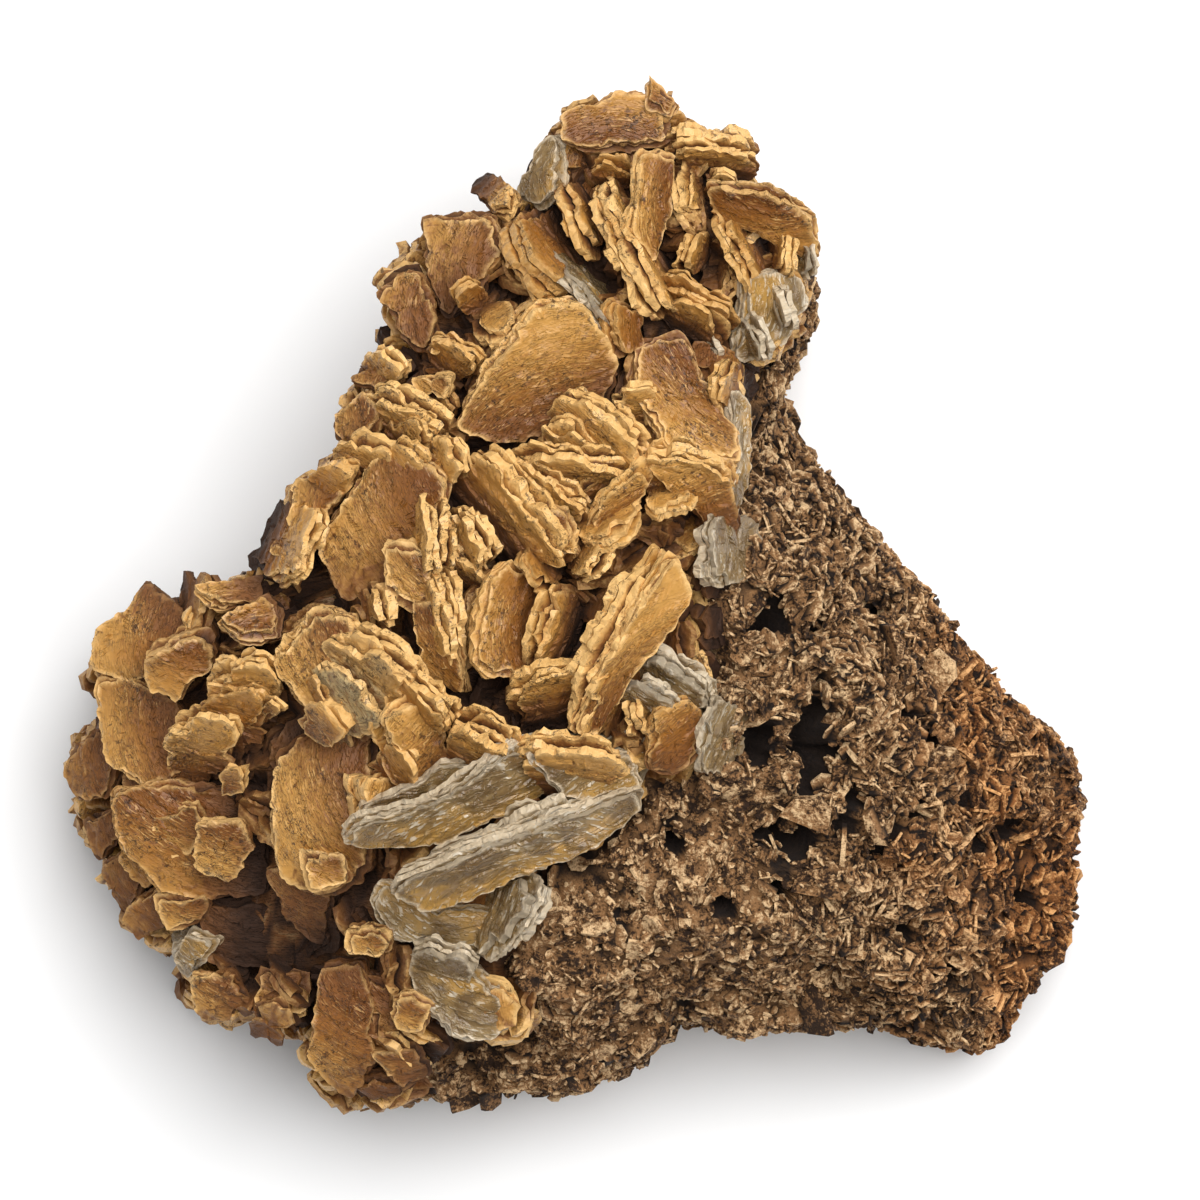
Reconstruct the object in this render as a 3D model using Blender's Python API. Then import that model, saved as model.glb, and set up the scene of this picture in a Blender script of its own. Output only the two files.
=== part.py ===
"""Barite specimen: a crust of honey-coloured bladed barite on a lump of brown, finely crystalline rock.

Two natural pieces. The rock lies on its flat broken base, and the crust of crystals caps its left half.
The frame has +Z up, +X to the right and +Y away from the viewer. Plan positions below are millimetres
seen from straight above. Angles are degrees: a compass direction counts from +X towards +Y, and a dip
counts from the horizontal.
"""

import bmesh
import bpy
import numpy as np

MM = 0.001

# Driving dimensions, in millimetres
CREST_TOP = 62.0                # the highest tips, above the base
CREST_AT = (4.0, 8.0)           # where they stand
CREST_FALL = (0.0072, 0.0036)   # fall of the tips for each squared millimetre along X and Y
BED_DROP = 7.5                  # from the tips down to the mass of crystal that they grow from
BED_INSET = 4.0                 # from the specimen's outline in to that mass
BED_BOTTOM = 9.0                # the crust's lowest level above the base
CRUST_THICKNESS = 17.0          # the mass of crystal at its rim
CRUST_GAP = 0.35                # between the crust and the rock
ROCK_DROP = 8.0                 # from the crest down to the bare rock
ROCK_UNDER_CRUST = 15.0         # the same, where the crust covers it
ROCK_INSET = 7.0                # from the outline in to the rock's side, under the crust
ROUGHNESS = 1.6                 # how far the rock's corners are knocked about
PLATE_ROOT = 14.0               # from a rooted crystal's face down to its point
BASE_CENTRE = (-0.25, 0.1)      # middle of the whole specimen in plan, which becomes the origin
SEED = 11

# Plan outline of the whole specimen, clockwise from the left end of the crown
OUTLINE = [
    (-3, 60), (5, 64), (12, 62.5), (20, 58), (23.5, 51), (29.5, 45), (29.5, 36), (23.5, 28),
    (27.5, 21.5), (33.5, 13.5), (43.5, 1.8), (54, -11.4), (61, -17), (65.8, -24.5), (65, -35),
    (62.9, -43), (57.3, -49.5), (52.9, -55.8), (46.6, -56), (39, -53), (33.5, -53), (27.9, -54.3),
    (20.4, -54.5), (12.9, -54.5), (7.9, -58.9), (0, -61.7), (-7.5, -62.6), (-20, -64), (-28, -66),
    (-33.5, -60), (-36.5, -54), (-47.5, -53), (-51, -46), (-57.5, -41), (-61, -34), (-64.5, -26),
    (-65, -18), (-60.5, -13), (-62, -6), (-56.6, 0), (-50.2, 0.5), (-42.5, 4), (-38, 8), (-36, 14),
    (-30.5, 19), (-29, 27), (-24, 33), (-25, 40), (-20, 47), (-12.5, 48.8), (-8, 51),
]

# Where the crust ends on the rock, from the neck down to the lower edge
CRUST_EDGE = [
    (23.1, 28), (22.3, 24.3), (21.6, 18), (21, 11.8), (17.5, 5.5), (16.5, 0.5), (17.9, -9.5),
    (15.4, -15.8), (14, -20.8), (8.3, -22.5), (7.9, -26.4), (2.9, -30.8), (-3.4, -33.3),
    (-9.6, -45.8), (-4.6, -49.5), (-5.3, -55.1), (-17, -56.5), (-20.3, -62.6),
]
CRUST_OUTLINE = OUTLINE[:7] + CRUST_EDGE + OUTLINE[28:]


def crest(x, y):
    """Height of the crystals' tips: a low dome that falls by a square law from its top."""
    return CREST_TOP - CREST_FALL[0] * (x - CREST_AT[0]) ** 2 - CREST_FALL[1] * (y - CREST_AT[1]) ** 2


def smoothstep(t):
    t = np.clip(t, 0, 1)
    return t * t * (3 - 2 * t)


def compass(degrees):
    """The level unit vector that points in a compass direction."""
    return np.array([np.cos(np.radians(degrees)), np.sin(np.radians(degrees)), 0.0])


# Crystals: each is a rim (the corners of its upper face), a lower rim, and sometimes a point below


def plate(corners, toward, dip, up=-3.0, thick=2.0, rooted=False):
    """A crystal seen on its face: plan corners on a plane that descends toward a compass direction.
    Its middle lies `up` from the crest. A rooted one narrows below to a point in the bed."""
    corners = np.array(corners, float)
    middle = corners.mean(0)
    along = compass(toward)
    height = crest(*middle) + up - np.tan(np.radians(dip)) * (corners - middle) @ along[:2]
    rim = np.column_stack([corners, height])
    normal = along * np.sin(np.radians(dip)) + np.array([0, 0, np.cos(np.radians(dip))])
    if not rooted:
        return rim, rim - normal * thick, None
    point = rim.mean(0) - np.array([0, 0, PLATE_ROOT])
    point[:2] *= 0.9
    return rim, rim - normal * thick, point


# Corners of a crystal seen on its edge, as shares of half its ridge and of its depth
FIN_SHAPE = np.array([(-1, 0.28), (-0.55, 0), (0.55, 0), (1, 0.28), (0.7, 1), (-0.7, 1)])


def fin(start, end, toward, dip=72, up=0.0, thick=1.6, depth=14.0):
    """A crystal seen on its edge: its ridge runs from start to end, and the plate goes down from
    there into the bed, across the ridge, on the side nearest to a compass direction."""
    start, end = (np.array([*p, crest(*p) + up]) for p in (start, end))
    half = (end - start) / 2
    side = np.array([-half[1], half[0], 0.0])
    side /= np.linalg.norm(side)
    if side @ compass(toward) < 0:
        side = -side
    down = side * np.cos(np.radians(dip)) - np.array([0, 0, np.sin(np.radians(dip))])
    middle = (start + end) / 2 + FIN_SHAPE[:, :1] * half + FIN_SHAPE[:, 1:] * down * depth
    normal = np.cross(half, down)
    normal *= thick / 2 / np.linalg.norm(normal)
    return middle + normal, middle - normal, None


UPPER_LOBE = [
    plate([(-2.7, 61), (2.5, 63), (5, 64.4), (8.2, 64), (11.5, 62.5), (12, 57.5), (8, 56), (2, 55.8),
          (-2.5, 57)], 85, 16, -2, rooted=True),
    plate([(8, 61), (8.2, 64), (8.6, 66.2), (11.5, 63.6), (13.8, 61.5), (12, 59.5)],
          60, 30, -1, rooted=True),
    fin((11, 58.3), (23, 57), 270, 60, 0, 3.2, 12),
    fin((1.5, 55.1), (9.3, 54.8), 270, 60, 0, 1.4, 12),
    plate([(-8, 51), (-6, 55.5), (-4.7, 57.7), (-2.8, 58.7), (-1.8, 52), (-5, 49)], 160, 35, -4),
    fin((-2.6, 52), (2.3, 42), 30, 74, 0, 2.0),
    fin((1.8, 51.8), (10.3, 35), 25, 74, 1.5, 3.0, 16),
    plate([(7.8, 53), (8.5, 55.6), (12.6, 55.4), (12, 48), (8.8, 38.5), (6.3, 46.5)], 0, 48, 1, 2.4),
    fin((12.6, 55), (14.8, 47.5), 0, 78, 0, 1.3),
    fin((15.8, 53.6), (20.5, 53), 250, 60, -1, 1.6, 11),
    fin((16, 50.4), (23.6, 51), 275, 66, 0, 1.7),
    fin((23.6, 51), (29, 46.4), 225, 66, -1, 1.7, 11),
    fin((29, 46.4), (29.4, 40), 185, 66, -2, 1.7, 11),
    fin((16.7, 48.8), (22.3, 37), 10, 72, 0.5, 1.9),
    fin((26.2, 46.5), (25.9, 39.8), 180, 76, 0, 1.6),
    plate([(21, 41), (28, 41.5), (29.5, 38), (28, 33.8), (24, 29.5), (20, 29), (20.5, 35)],
          345, 33, -3, 3, rooted=True),
    fin((24.5, 40), (27.5, 33), 190, 70, 0, 1.7, 10),
    fin((21.6, 36.5), (24, 30), 190, 70, 0.5, 1.7, 10),
    fin((10.3, 41.4), (21, 35.6), 240, 62, 1.5, 1.5),
    fin((11.7, 39.2), (19.8, 34.2), 240, 60, 0, 1.5),
    fin((14.4, 46.8), (12.4, 41), 0, 72, 0, 1.8),
    plate([(5.8, 37.7), (4.3, 36.5), (4.6, 33), (6, 30.5), (8.5, 31), (8.8, 36)], 0, 45, -1, 2.2),
    plate([(-20, 48.6), (-15, 49), (-10, 49), (-8.5, 44), (-12, 38), (-17, 35), (-19.3, 40),
          (-19.5, 45)], 165, 20, -3, 2.4, rooted=True),
    fin((-15.8, 37.6), (-12.3, 40.6), 320, 58, 0, 1.4, 10),
    fin((-9.6, 47), (-3, 36.6), 30, 62, 1, 3.6),
    fin((-4, 43.5), (4.5, 32.5), 30, 76, 1, 1.5),
    fin((-6.7, 50.6), (-9.7, 47.4), 140, 60, -1, 1.8, 11),
    fin((-17.5, 34.3), (-10.5, 29.8), 235, 58, 0.5, 1.8),
    fin((-11.6, 31.4), (-6, 35), 120, 60, 0, 1.8),
]

WEST_MARGIN = [
    plate([(-22, 41.6), (-24.8, 40), (-25.7, 38.4), (-23.5, 36), (-22.5, 32), (-18, 30), (-16.5, 36),
          (-19.5, 42)], 170, 22, -3, rooted=True),
    fin((-24.7, 32.5), (-20.5, 28.5), 215, 60, 0, 1.8, 11),
    plate([(-18.5, 33), (-15, 33), (-14.5, 30.5), (-18.5, 30.5)], 225, 30, -1, rooted=True),
    plate([(-21, 28), (-15, 28.5), (-15.3, 25), (-20, 25)], 225, 30, -1, rooted=True),
    fin((-25.8, 28), (-14.5, 22.5), 240, 56, 0.5, 2.2),
    fin((-22, 24.8), (-16.6, 20.2), 240, 56, -0.5, 1.6),
    plate([(-31, 23.9), (-26.5, 27), (-23.5, 24), (-25, 20), (-26, 18), (-29, 18), (-31, 21)],
          195, 32, -3, rooted=True),
    plate([(-29.4, 27.6), (-27, 29.5), (-24, 30.5), (-21, 28.2), (-24, 26)], 150, 30, -3, rooted=True),
    fin((-31.9, 18.2), (-27, 15.5), 225, 55, 0, 2.2, 11),
    fin((-23.2, 21.2), (-17.2, 16.8), 230, 50, 0, 1.8, 12),
    plate([(-36.4, 14.6), (-34.7, 16.2), (-29.8, 15.9), (-28, 14), (-31, 10.5), (-36.3, 8.7)],
          175, 28, -2.5, rooted=True),
    fin((-30.8, 11.6), (-35.8, 1.4), 160, 66, 1, 1.9),
    plate([(-39.6, 7.3), (-38, 8.8), (-34.5, 7.5), (-35.5, 4), (-38.6, 5.4)],
          165, 35, -2.5, rooted=True),
]

CENTRE = [
    plate([(-4.5, 36.2), (0.5, 36.3), (3, 33), (5.2, 28), (3, 24), (-3, 20.5), (-9, 20), (-14, 21.5),
          (-10.8, 29)], 290, 17, -1.5, 2.8),
    fin((-1, 27.4), (9.5, 18), 225, 52, 1, 2.8, 12),
    fin((-2.8, 23.8), (4.8, 18.2), 225, 52, 0, 2, 12),
    plate([(8.3, 32.5), (13, 33.5), (14.6, 31), (17.5, 25), (20, 21.5), (20, 18), (12, 18.5),
          (8.5, 24), (7.2, 28)], 50, 24, -1.5, 2.6),
    fin((3.8, 26.6), (10.5, 27.4), 275, 50, 1, 1.6, 10),
    fin((18.3, 30.6), (17.4, 23.8), 0, 74, 0, 1.5),
    plate([(19.3, 27), (22, 25), (21.7, 20), (21.4, 14), (20.4, 10), (18.5, 12), (18.8, 20)],
          0, 52, -3, 2.4),
    fin((-8.5, 19.4), (7, 17.6), 275, 62, 1.5, 2.5),
    fin((6, 18.6), (19.8, 17.3), 275, 62, 1.5, 2.5),
    plate([(8.5, 16.5), (19.8, 16.8), (20, 8), (19.5, 6.8), (16.5, 8.5), (14, 11.5)], 290, 33, -3),
    fin((-12.1, 20.6), (0.5, 6), 230, 56, 1, 3),
    fin((-15.9, 21.8), (-13.2, 15.2), 200, 60, 0, 1.8),
    plate([(-13, 18), (-8, 14), (-5, 8.5), (-8, 7), (-12.5, 11)], 225, 36, -4),
    fin((-8.6, 19), (2.9, 11.6), 235, 58, 0, 1.8),
    plate([(-5.6, 12), (-1, 11.5), (0.4, 5.5), (-4, 6)], 250, 20, -0.5),
    plate([(8.5, 17), (3, 13.4), (1.5, 8.5), (3.2, 8), (7.5, 11), (9.6, 15)], 300, 36, -1),
    fin((1, 7), (9, 11.2), 110, 66, 1, 1.8),
    fin((8.6, 11), (15.4, 12.6), 100, 66, 1, 1.8),
    fin((15.4, 11.5), (16, 1.5), 0, 60, -1, 2, 13),
    fin((4.2, 7.8), (1.4, 2.2), 180, 70, 1, 1.8),
    plate([(8.5, 7), (14, 2.5), (12, -1.5), (8, -6), (5.5, -10), (3, -15.5), (-1.5, -16.3),
          (-2.3, -13.5), (1.5, -5.5), (4.4, 1)], 290, 13, 1.5, 3.4),
    fin((-2.5, 2.8), (-6, -8), 10, 64, 0, 1.8),
    plate([(-8.5, 5), (-11, 2), (-12.4, -3.5), (-12.3, -7), (-10.5, -9), (-6, -8), (-4, -2),
          (-5, 3)], 350, 28, -1.5, 2.4),
    fin((-7.7, 6.4), (-3.5, 1.3), 20, 70, 0, 1.5),
    fin((-16.8, 14.4), (-16.8, 2), 185, 68, 1, 3),
    fin((-17, 4.5), (-13.9, -8), 190, 68, 1, 3),
    fin((-14.3, 12.8), (-9.7, 4.6), 200, 70, 0.5, 2.6),
    fin((-9.6, -9.9), (1, -7), 280, 56, 0, 2.2),
    plate([(-24.5, 18.8), (-18.5, 17.3), (-16.5, 15.5), (-17, 12), (-20, 8), (-23, 2), (-29.5, 0),
          (-31.3, 5), (-31.6, 9), (-28, 14)], 205, 24, -2, 2.6),
    plate([(-24, 7.2), (-21, 7.6), (-17.5, 6), (-17.3, 0), (-20.5, -1), (-24, 1.5)], 225, 22, -0.5),
]

LEFT_LOBE = [
    plate([(-49, 2.5), (-45, 3.3), (-38, 4.6), (-38.5, 0), (-45, -1)], 100, 28, -3),
    plate([(-45.2, -2), (-42, 0.8), (-38.2, 2.6), (-36, 0), (-36, -4.5), (-42, -5)], 95, 18, -1.5, 6),
    plate([(-55.1, 3.6), (-50, 0.5), (-47, -3), (-50, -8), (-56, -11), (-61.8, -8), (-60.6, -2.6),
          (-56.6, 0)], 175, 26, -2, rooted=True),
    plate([(-61.5, -10.8), (-56, -11), (-50.5, -14), (-49, -20), (-54, -23.5), (-60, -20)],
          195, 26, -2, rooted=True),
    plate([(-54.5, -7.5), (-51, -4.5), (-46, -3.8), (-45, -8), (-50, -13), (-54, -11.5)],
          245, 22, 0.5, 7),
    fin((-46.8, -8), (-36.6, -6), 275, 48, 1, 2.4, 12),
    fin((-47.2, -10.6), (-38.3, -9.9), 275, 48, 1, 2.2, 12),
    fin((-52.2, -14.4), (-42, -12.6), 265, 45, 1, 2.8, 12),
    plate([(-58, -24), (-50, -22.3), (-43, -24), (-39, -30), (-39, -36), (-46, -37), (-52, -36.5),
          (-57, -31)], 245, 18, -2.5, 2.6),
    plate([(-53.5, -25.5), (-44, -25), (-40, -31), (-45, -34), (-51.5, -32)], 240, 14, -0.5, 3.6),
    plate([(-64.6, -18), (-60, -14.6), (-57.5, -19), (-59, -25), (-64, -25.5), (-65.6, -22)],
          190, 42, -3, rooted=True),
    plate([(-63.6, -27), (-57.5, -25), (-57, -29), (-61, -33.5), (-62.6, -30)],
          200, 42, -3.5, rooted=True),
    plate([(-61, -32.5), (-56, -30), (-54, -35), (-57, -40.5), (-60.2, -36)], 210, 42, -4, rooted=True),
    plate([(-57, -37.5), (-52, -35), (-51, -41), (-55.5, -43), (-58, -40)], 225, 42, -3, rooted=True),
    plate([(-53.5, -37), (-46, -36.5), (-46.5, -40), (-51.5, -41.5)], 250, 30, -2),
    plate([(-52, -44), (-49.5, -48), (-45, -43), (-49, -41)], 230, 42, -3),
    plate([(-47.5, -38), (-38, -37.5), (-37.5, -46), (-44, -46), (-48, -42.5)], 250, 24, -4),
    plate([(-49, -46.5), (-49, -51), (-47.3, -53), (-43.5, -53), (-40.5, -50), (-43, -46)],
          245, 34, -3, rooted=True),
]

LOWER_LEFT = [
    plate([(-38, -8), (-36, -4.5), (-32.5, -1), (-28.3, -2), (-26.6, -8), (-27.5, -13.5),
          (-33, -14)], 215, 26, -1, 2.4),
    plate([(-37.8, -19.5), (-34, -16.5), (-29.5, -13.5), (-26.5, -16), (-25.5, -25), (-27, -33),
          (-32, -36), (-37.5, -34), (-38.3, -27)], 200, 22, -1.5, 2.8),
    plate([(-39.3, -33.5), (-34, -32.5), (-30, -36), (-32, -43), (-36.5, -39.5)], 235, 34, -3),
    plate([(-35, -31), (-28.5, -30.5), (-28, -35), (-33.5, -36)], 240, 14, 0, 2.2),
    fin((-32.7, -7.4), (-28.3, -13.6), 220, 66, 0.5, 1.7),
    fin((-30.2, -5.4), (-22, -13.8), 225, 54, 1, 3.2),
    fin((-29, -1.8), (-17.8, -10.2), 225, 54, 1, 3.4),
    plate([(-20.5, 0), (-17, 0), (-14.5, -6), (-14, -11.5), (-19.5, -9)], 215, 40, -1),
    fin((-21.5, -7), (-14, -13.6), 235, 60, 1.5, 2.8),
    fin((-15, -13), (-6.5, -17.4), 245, 60, 1.5, 2.8),
    fin((-8, -16.7), (7.2, -18.2), 262, 60, 1.5, 2.8),
    fin((6.2, -10.6), (7.5, -17.2), 0, 72, 0, 1.8),
    plate([(9.5, -13), (14, -12), (16, -14), (15.2, -18.5), (12.3, -21.3), (9, -20.5)], 310, 30, -2),
    fin((16.4, -10.8), (13.6, -20.6), 330, 62, -1, 1.6, 11),
    fin((5.8, -8.6), (14.2, -12.3), 290, 60, 0, 1.8, 12),
    fin((8.8, -4.8), (18, -11.8), 300, 56, -0.5, 2.4, 12),
    plate([(-24, -14), (-21.5, -20), (-19.5, -23), (-16, -24.5), (-14.5, -20), (-16.5, -14.5),
          (-20, -12)], 320, 30, -1.5),
    plate([(-27, -21.5), (-21.5, -20.5), (-20.5, -26), (-25, -28.5)], 345, 36, -2, 4.4),
    plate([(-25, -29.5), (-15, -23), (-8, -18.7), (0, -19.5), (1, -23), (-8, -26), (-15, -29.5),
          (-26, -33)], 295, 42, 0, 2.6),
    plate([(-20, -35), (-10, -29.5), (-1, -26.5), (7.3, -24.6), (7.5, -27), (2, -30.6), (-8, -34.5),
          (-17, -38.3), (-21, -37)], 290, 42, 0, 2.8),
    fin((-10, -27.5), (1, -22.7), 290, 60, 0, 2, 12),
    plate([(-6, -18.5), (7, -18.5), (8, -22), (7.3, -25), (-2, -24)], 300, 26, -2.5),
    plate([(-24, -34.7), (-17, -37.5), (-10, -38), (-10.5, -44), (-20, -42), (-22.8, -42),
          (-25.3, -37.5)], 250, 20, -3.5),
    fin((-20.5, -41.6), (-11.8, -43.8), 265, 60, 0, 1.8, 12),
    plate([(-21.6, -43.2), (-15, -43), (-10.5, -46.5), (-7.5, -51), (-9.5, -55), (-15.5, -54.6),
          (-20.3, -50), (-22, -46)], 245, 20, -3, rooted=True),
    fin((-3.5, -34), (-10.3, -45), 200, 62, 0.5, 2.6, 12),
    plate([(-24, -49.5), (-20.5, -48), (-17.5, -50), (-19, -54.2), (-23, -53.5)],
          245, 28, -1, rooted=True),
    plate([(-29, -41), (-26, -40), (-23, -41), (-23.5, -44), (-28.5, -43.8)], 245, 26, -0.5),
    plate([(-32.5, -45.3), (-27, -44.7), (-25, -50), (-24.7, -58), (-29, -63.5), (-33, -59.3),
          (-34.4, -56.5), (-33.4, -50)], 235, 30, -2, 2.6, rooted=True),
    plate([(-27, -46), (-20, -47), (-19, -55), (-25.5, -56)], 250, 20, -4, rooted=True),
    plate([(-27, -56), (-20, -54.5), (-17.5, -59), (-22, -62)], 270, 34, -4, rooted=True),
    plate([(-30.5, -62), (-25, -59.5), (-20.5, -62), (-22.3, -65), (-28, -66)],
          262, 42, -4.5, rooted=True),
]

# Blades round the sides, below the outer rim of the crust: places along the outline
RIM_PLACES = [
    (-2, 61.5), (9, 63), (20, 57.5), (27, 47.5), (29, 38), (-11.5, 48), (-21, 44), (-24.5, 34.5),
    (-29.5, 24), (-33, 15), (-41, 3.8), (-52, 0), (-61, -8), (-63, -19), (-62, -31), (-55, -42),
    (-46, -52), (-35, -54), (-29, -65), (-18, -62.5),
]
RIM_DROP = 13.0
RIM_DIP = np.radians(58)
RIM_TURN = 0.35
RIM_HALF_WIDTH = 5.6
RIM_LENGTH = 10.0
RIM_THICKNESS = 2.2
RIM_ROOT = 12.0
RIM_SHAPE = np.array([(-0.5, 0), (0.4, -0.05), (1, 0.35), (0.8, 1), (-0.8, 1), (-1, 0.4)])


def rim_blade(at, turn):
    """A blade on the side of the crust: it leans outwards, and its tip stays inside the outline."""
    out = np.array([*at, 0.0])
    out /= np.linalg.norm(out)
    across = np.array([-out[1], out[0], 0]) * np.cos(turn) + np.array([0, 0, np.sin(turn)])
    inward = -out * np.cos(RIM_DIP) + np.array([0, 0, np.sin(RIM_DIP)])
    tip = np.array([*at, max(crest(*at) - RIM_DROP, BED_BOTTOM + 2)]) - out
    rim = tip + RIM_SHAPE[:, :1] * across * RIM_HALF_WIDTH + RIM_SHAPE[:, 1:] * inward * RIM_LENGTH
    normal = np.cross(across, inward)
    normal *= np.sign(normal @ out) * RIM_THICKNESS / np.linalg.norm(normal)
    return rim, rim - normal, rim.mean(0) - out * RIM_ROOT


RIM = [rim_blade(at, RIM_TURN * np.sin(2.3 * k)) for k, at in enumerate(RIM_PLACES)]
CRYSTALS = UPPER_LOBE + WEST_MARGIN + CENTRE + LEFT_LOBE + LOWER_LEFT + RIM


def add_crystal(mesh, crystal):
    """Put one crystal into a bmesh: two rims joined by a band, and a point or a flat face below."""
    upper, lower, point = crystal
    rings = [[mesh.verts.new(p * MM) for p in rim] for rim in (upper, lower)]
    count = len(rings[0])
    faces = [mesh.faces.new(rings[0])]
    for k in range(count):
        j = (k + 1) % count
        faces.append(mesh.faces.new((rings[0][k], rings[0][j], rings[1][j], rings[1][k])))
    if point is None:
        faces.append(mesh.faces.new(rings[1]))
    else:
        apex = mesh.verts.new(point * MM)
        for k in range(count):
            faces.append(mesh.faces.new((rings[1][k], rings[1][(k + 1) % count], apex)))
    bmesh.ops.recalc_face_normals(mesh, faces=faces)


# Bodies worked out round an upright line: a ring of directions, and a profile in each


def ray_lengths(centre, outline, angles):
    """How far the outline is from the centre in each direction, at its furthest crossing."""
    angles = np.asarray(angles) + 1e-7
    start = np.array(outline, float) - centre
    edge = np.roll(start, -1, axis=0) - start
    ray = np.column_stack([np.cos(angles), np.sin(angles)])[:, None]
    cross = ray[..., 0] * edge[:, 1] - ray[..., 1] * edge[:, 0]
    along = (start[:, 0] * edge[:, 1] - start[:, 1] * edge[:, 0]) / cross
    share = (start[:, 0] * ray[..., 1] - start[:, 1] * ray[..., 0]) / cross
    return np.where((share >= 0) & (share < 1) & (along > 0), along, 0).max(1)


def round_body(name, centre, top, rings):
    """A closed body of rings, each an array of points from the top outwards and down to the base."""
    count = len(rings[0])
    points = np.vstack([[[*centre, top]], *rings, [[*centre, rings[-1][:, 2].mean()]]])
    k = np.arange(count)
    j = (k + 1) % count
    faces = [(0, a + 1, b + 1) for a, b in zip(k, j)]
    for r in range(len(rings) - 1):
        near, far = 1 + r * count, 1 + (r + 1) * count
        faces += [(near + a, far + a, far + b) for a, b in zip(k, j)]
        faces += [(near + a, far + b, near + b) for a, b in zip(k, j)]
    last = 1 + (len(rings) - 1) * count
    faces += [(last + a, len(points) - 1, last + b) for a, b in zip(k, j)]
    mesh = bpy.data.meshes.new(name)
    mesh.from_pydata((points * MM).tolist(), [], [tuple(int(v) for v in face) for face in faces])
    return mesh


def inside(points, outline):
    """Whether each plan point lies inside the outline: it is crossed an odd number of times."""
    a = np.array(outline, float)
    b = np.roll(a, -1, axis=0)
    x, y = points[..., None, 0], points[..., None, 1]
    spans = (a[:, 1] > y) != (b[:, 1] > y)
    rise = np.where(a[:, 1] == b[:, 1], 1, b[:, 1] - a[:, 1])
    left = x < a[:, 0] + (y - a[:, 1]) / rise * (b[:, 0] - a[:, 0])
    return (spans & left).sum(-1) % 2 == 1


def distance(points, line):
    """Each plan point's distance from a line of straight stretches."""
    a = np.array(line[:-1], float)
    step = np.array(line[1:], float) - a
    rest = points[..., None, :] - a
    share = np.clip((rest * step).sum(-1) / (step * step).sum(-1), 0, 1)
    return np.linalg.norm(rest - share[..., None] * step, axis=-1).min(-1)


# Rock

ROCK_CENTRE = np.array([4.0, -14.0])
ROCK_DIRECTIONS = 54
CRUST_SPAN = np.radians([66, 240])
TOP_SHARES = [0.14, 0.29, 0.44, 0.57, 0.69, 0.79, 0.88, 0.95]
SIDE_SHARES = [(1.0, 0.62), (1.0, 0.36), (0.985, 0.13), (0.955, 0.0)]


def relief(x, y):
    """Slow bumps and hollows of the rock, up to 3 mm high: crossed sine waves."""
    wave = np.sin(0.21 * x + 0.9) * np.sin(0.17 * y - 0.4) + 0.7 * np.sin(0.13 * x - 0.31 * y)
    return 1.3 * wave + 0.8 * np.sin(0.47 * x + 0.3 * y) * np.sin(0.39 * y - 0.2 * x)


def rock_top(x, y):
    """Height of the rock's upper side: below the crest, and deeper where the crust covers it."""
    points = np.stack([x, y], axis=-1)
    away = distance(points, CRUST_EDGE) * np.where(inside(points, CRUST_OUTLINE), -1, 1)
    covered = smoothstep((3 - away) / 7)
    drop = ROCK_DROP + covered * (ROCK_UNDER_CRUST - ROCK_DROP)
    return crest(x, y) - drop + (1 - covered) * relief(x, y)


def edge_fall(share):
    """What is left of the rock's height at a share of the way out to its side."""
    return 1 - 0.3 * smoothstep((share - 0.62) / 0.38) ** 1.5


def rock_rings(grow):
    """The rock's rings, each point moved out by `grow`: domed on top, steep at the sides, flat below."""
    random = np.random.default_rng(SEED)
    angles = np.arange(ROCK_DIRECTIONS) * 2 * np.pi / ROCK_DIRECTIONS
    covered = smoothstep((angles - CRUST_SPAN[0]) / 0.1) * smoothstep((CRUST_SPAN[1] - angles) / 0.1)
    reach = ray_lengths(ROCK_CENTRE, OUTLINE, angles) - ROCK_INSET * covered
    ray = np.column_stack([np.cos(angles), np.sin(angles)])
    rings = []
    for share in TOP_SHARES:
        rough = random.uniform(-1, 1, (2, ROCK_DIRECTIONS)) * (1 - covered)
        plan = ROCK_CENTRE + ray * (reach * share + ROUGHNESS * rough[0])[:, None]
        height = rock_top(plan[:, 0], plan[:, 1]) * edge_fall(share) + ROUGHNESS * rough[1]
        lean = smoothstep((share - 0.6) / 0.4)
        rings.append(np.column_stack([plan + ray * grow * lean, height + grow]))
    rim = rings[-1][:, 2] - grow
    for share, level in SIDE_SHARES:
        rough = ROUGHNESS * random.uniform(-1, 0, ROCK_DIRECTIONS)
        plan = ROCK_CENTRE + ray * (reach * share + rough + grow)[:, None]
        rings.append(np.column_stack([plan, rim * level - (grow if level == 0 else 0)]))
    return rings


def rock_mesh(name, grow):
    middle = rock_top(*ROCK_CENTRE) + grow
    return round_body(name, ROCK_CENTRE, middle, rock_rings(grow))


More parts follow.
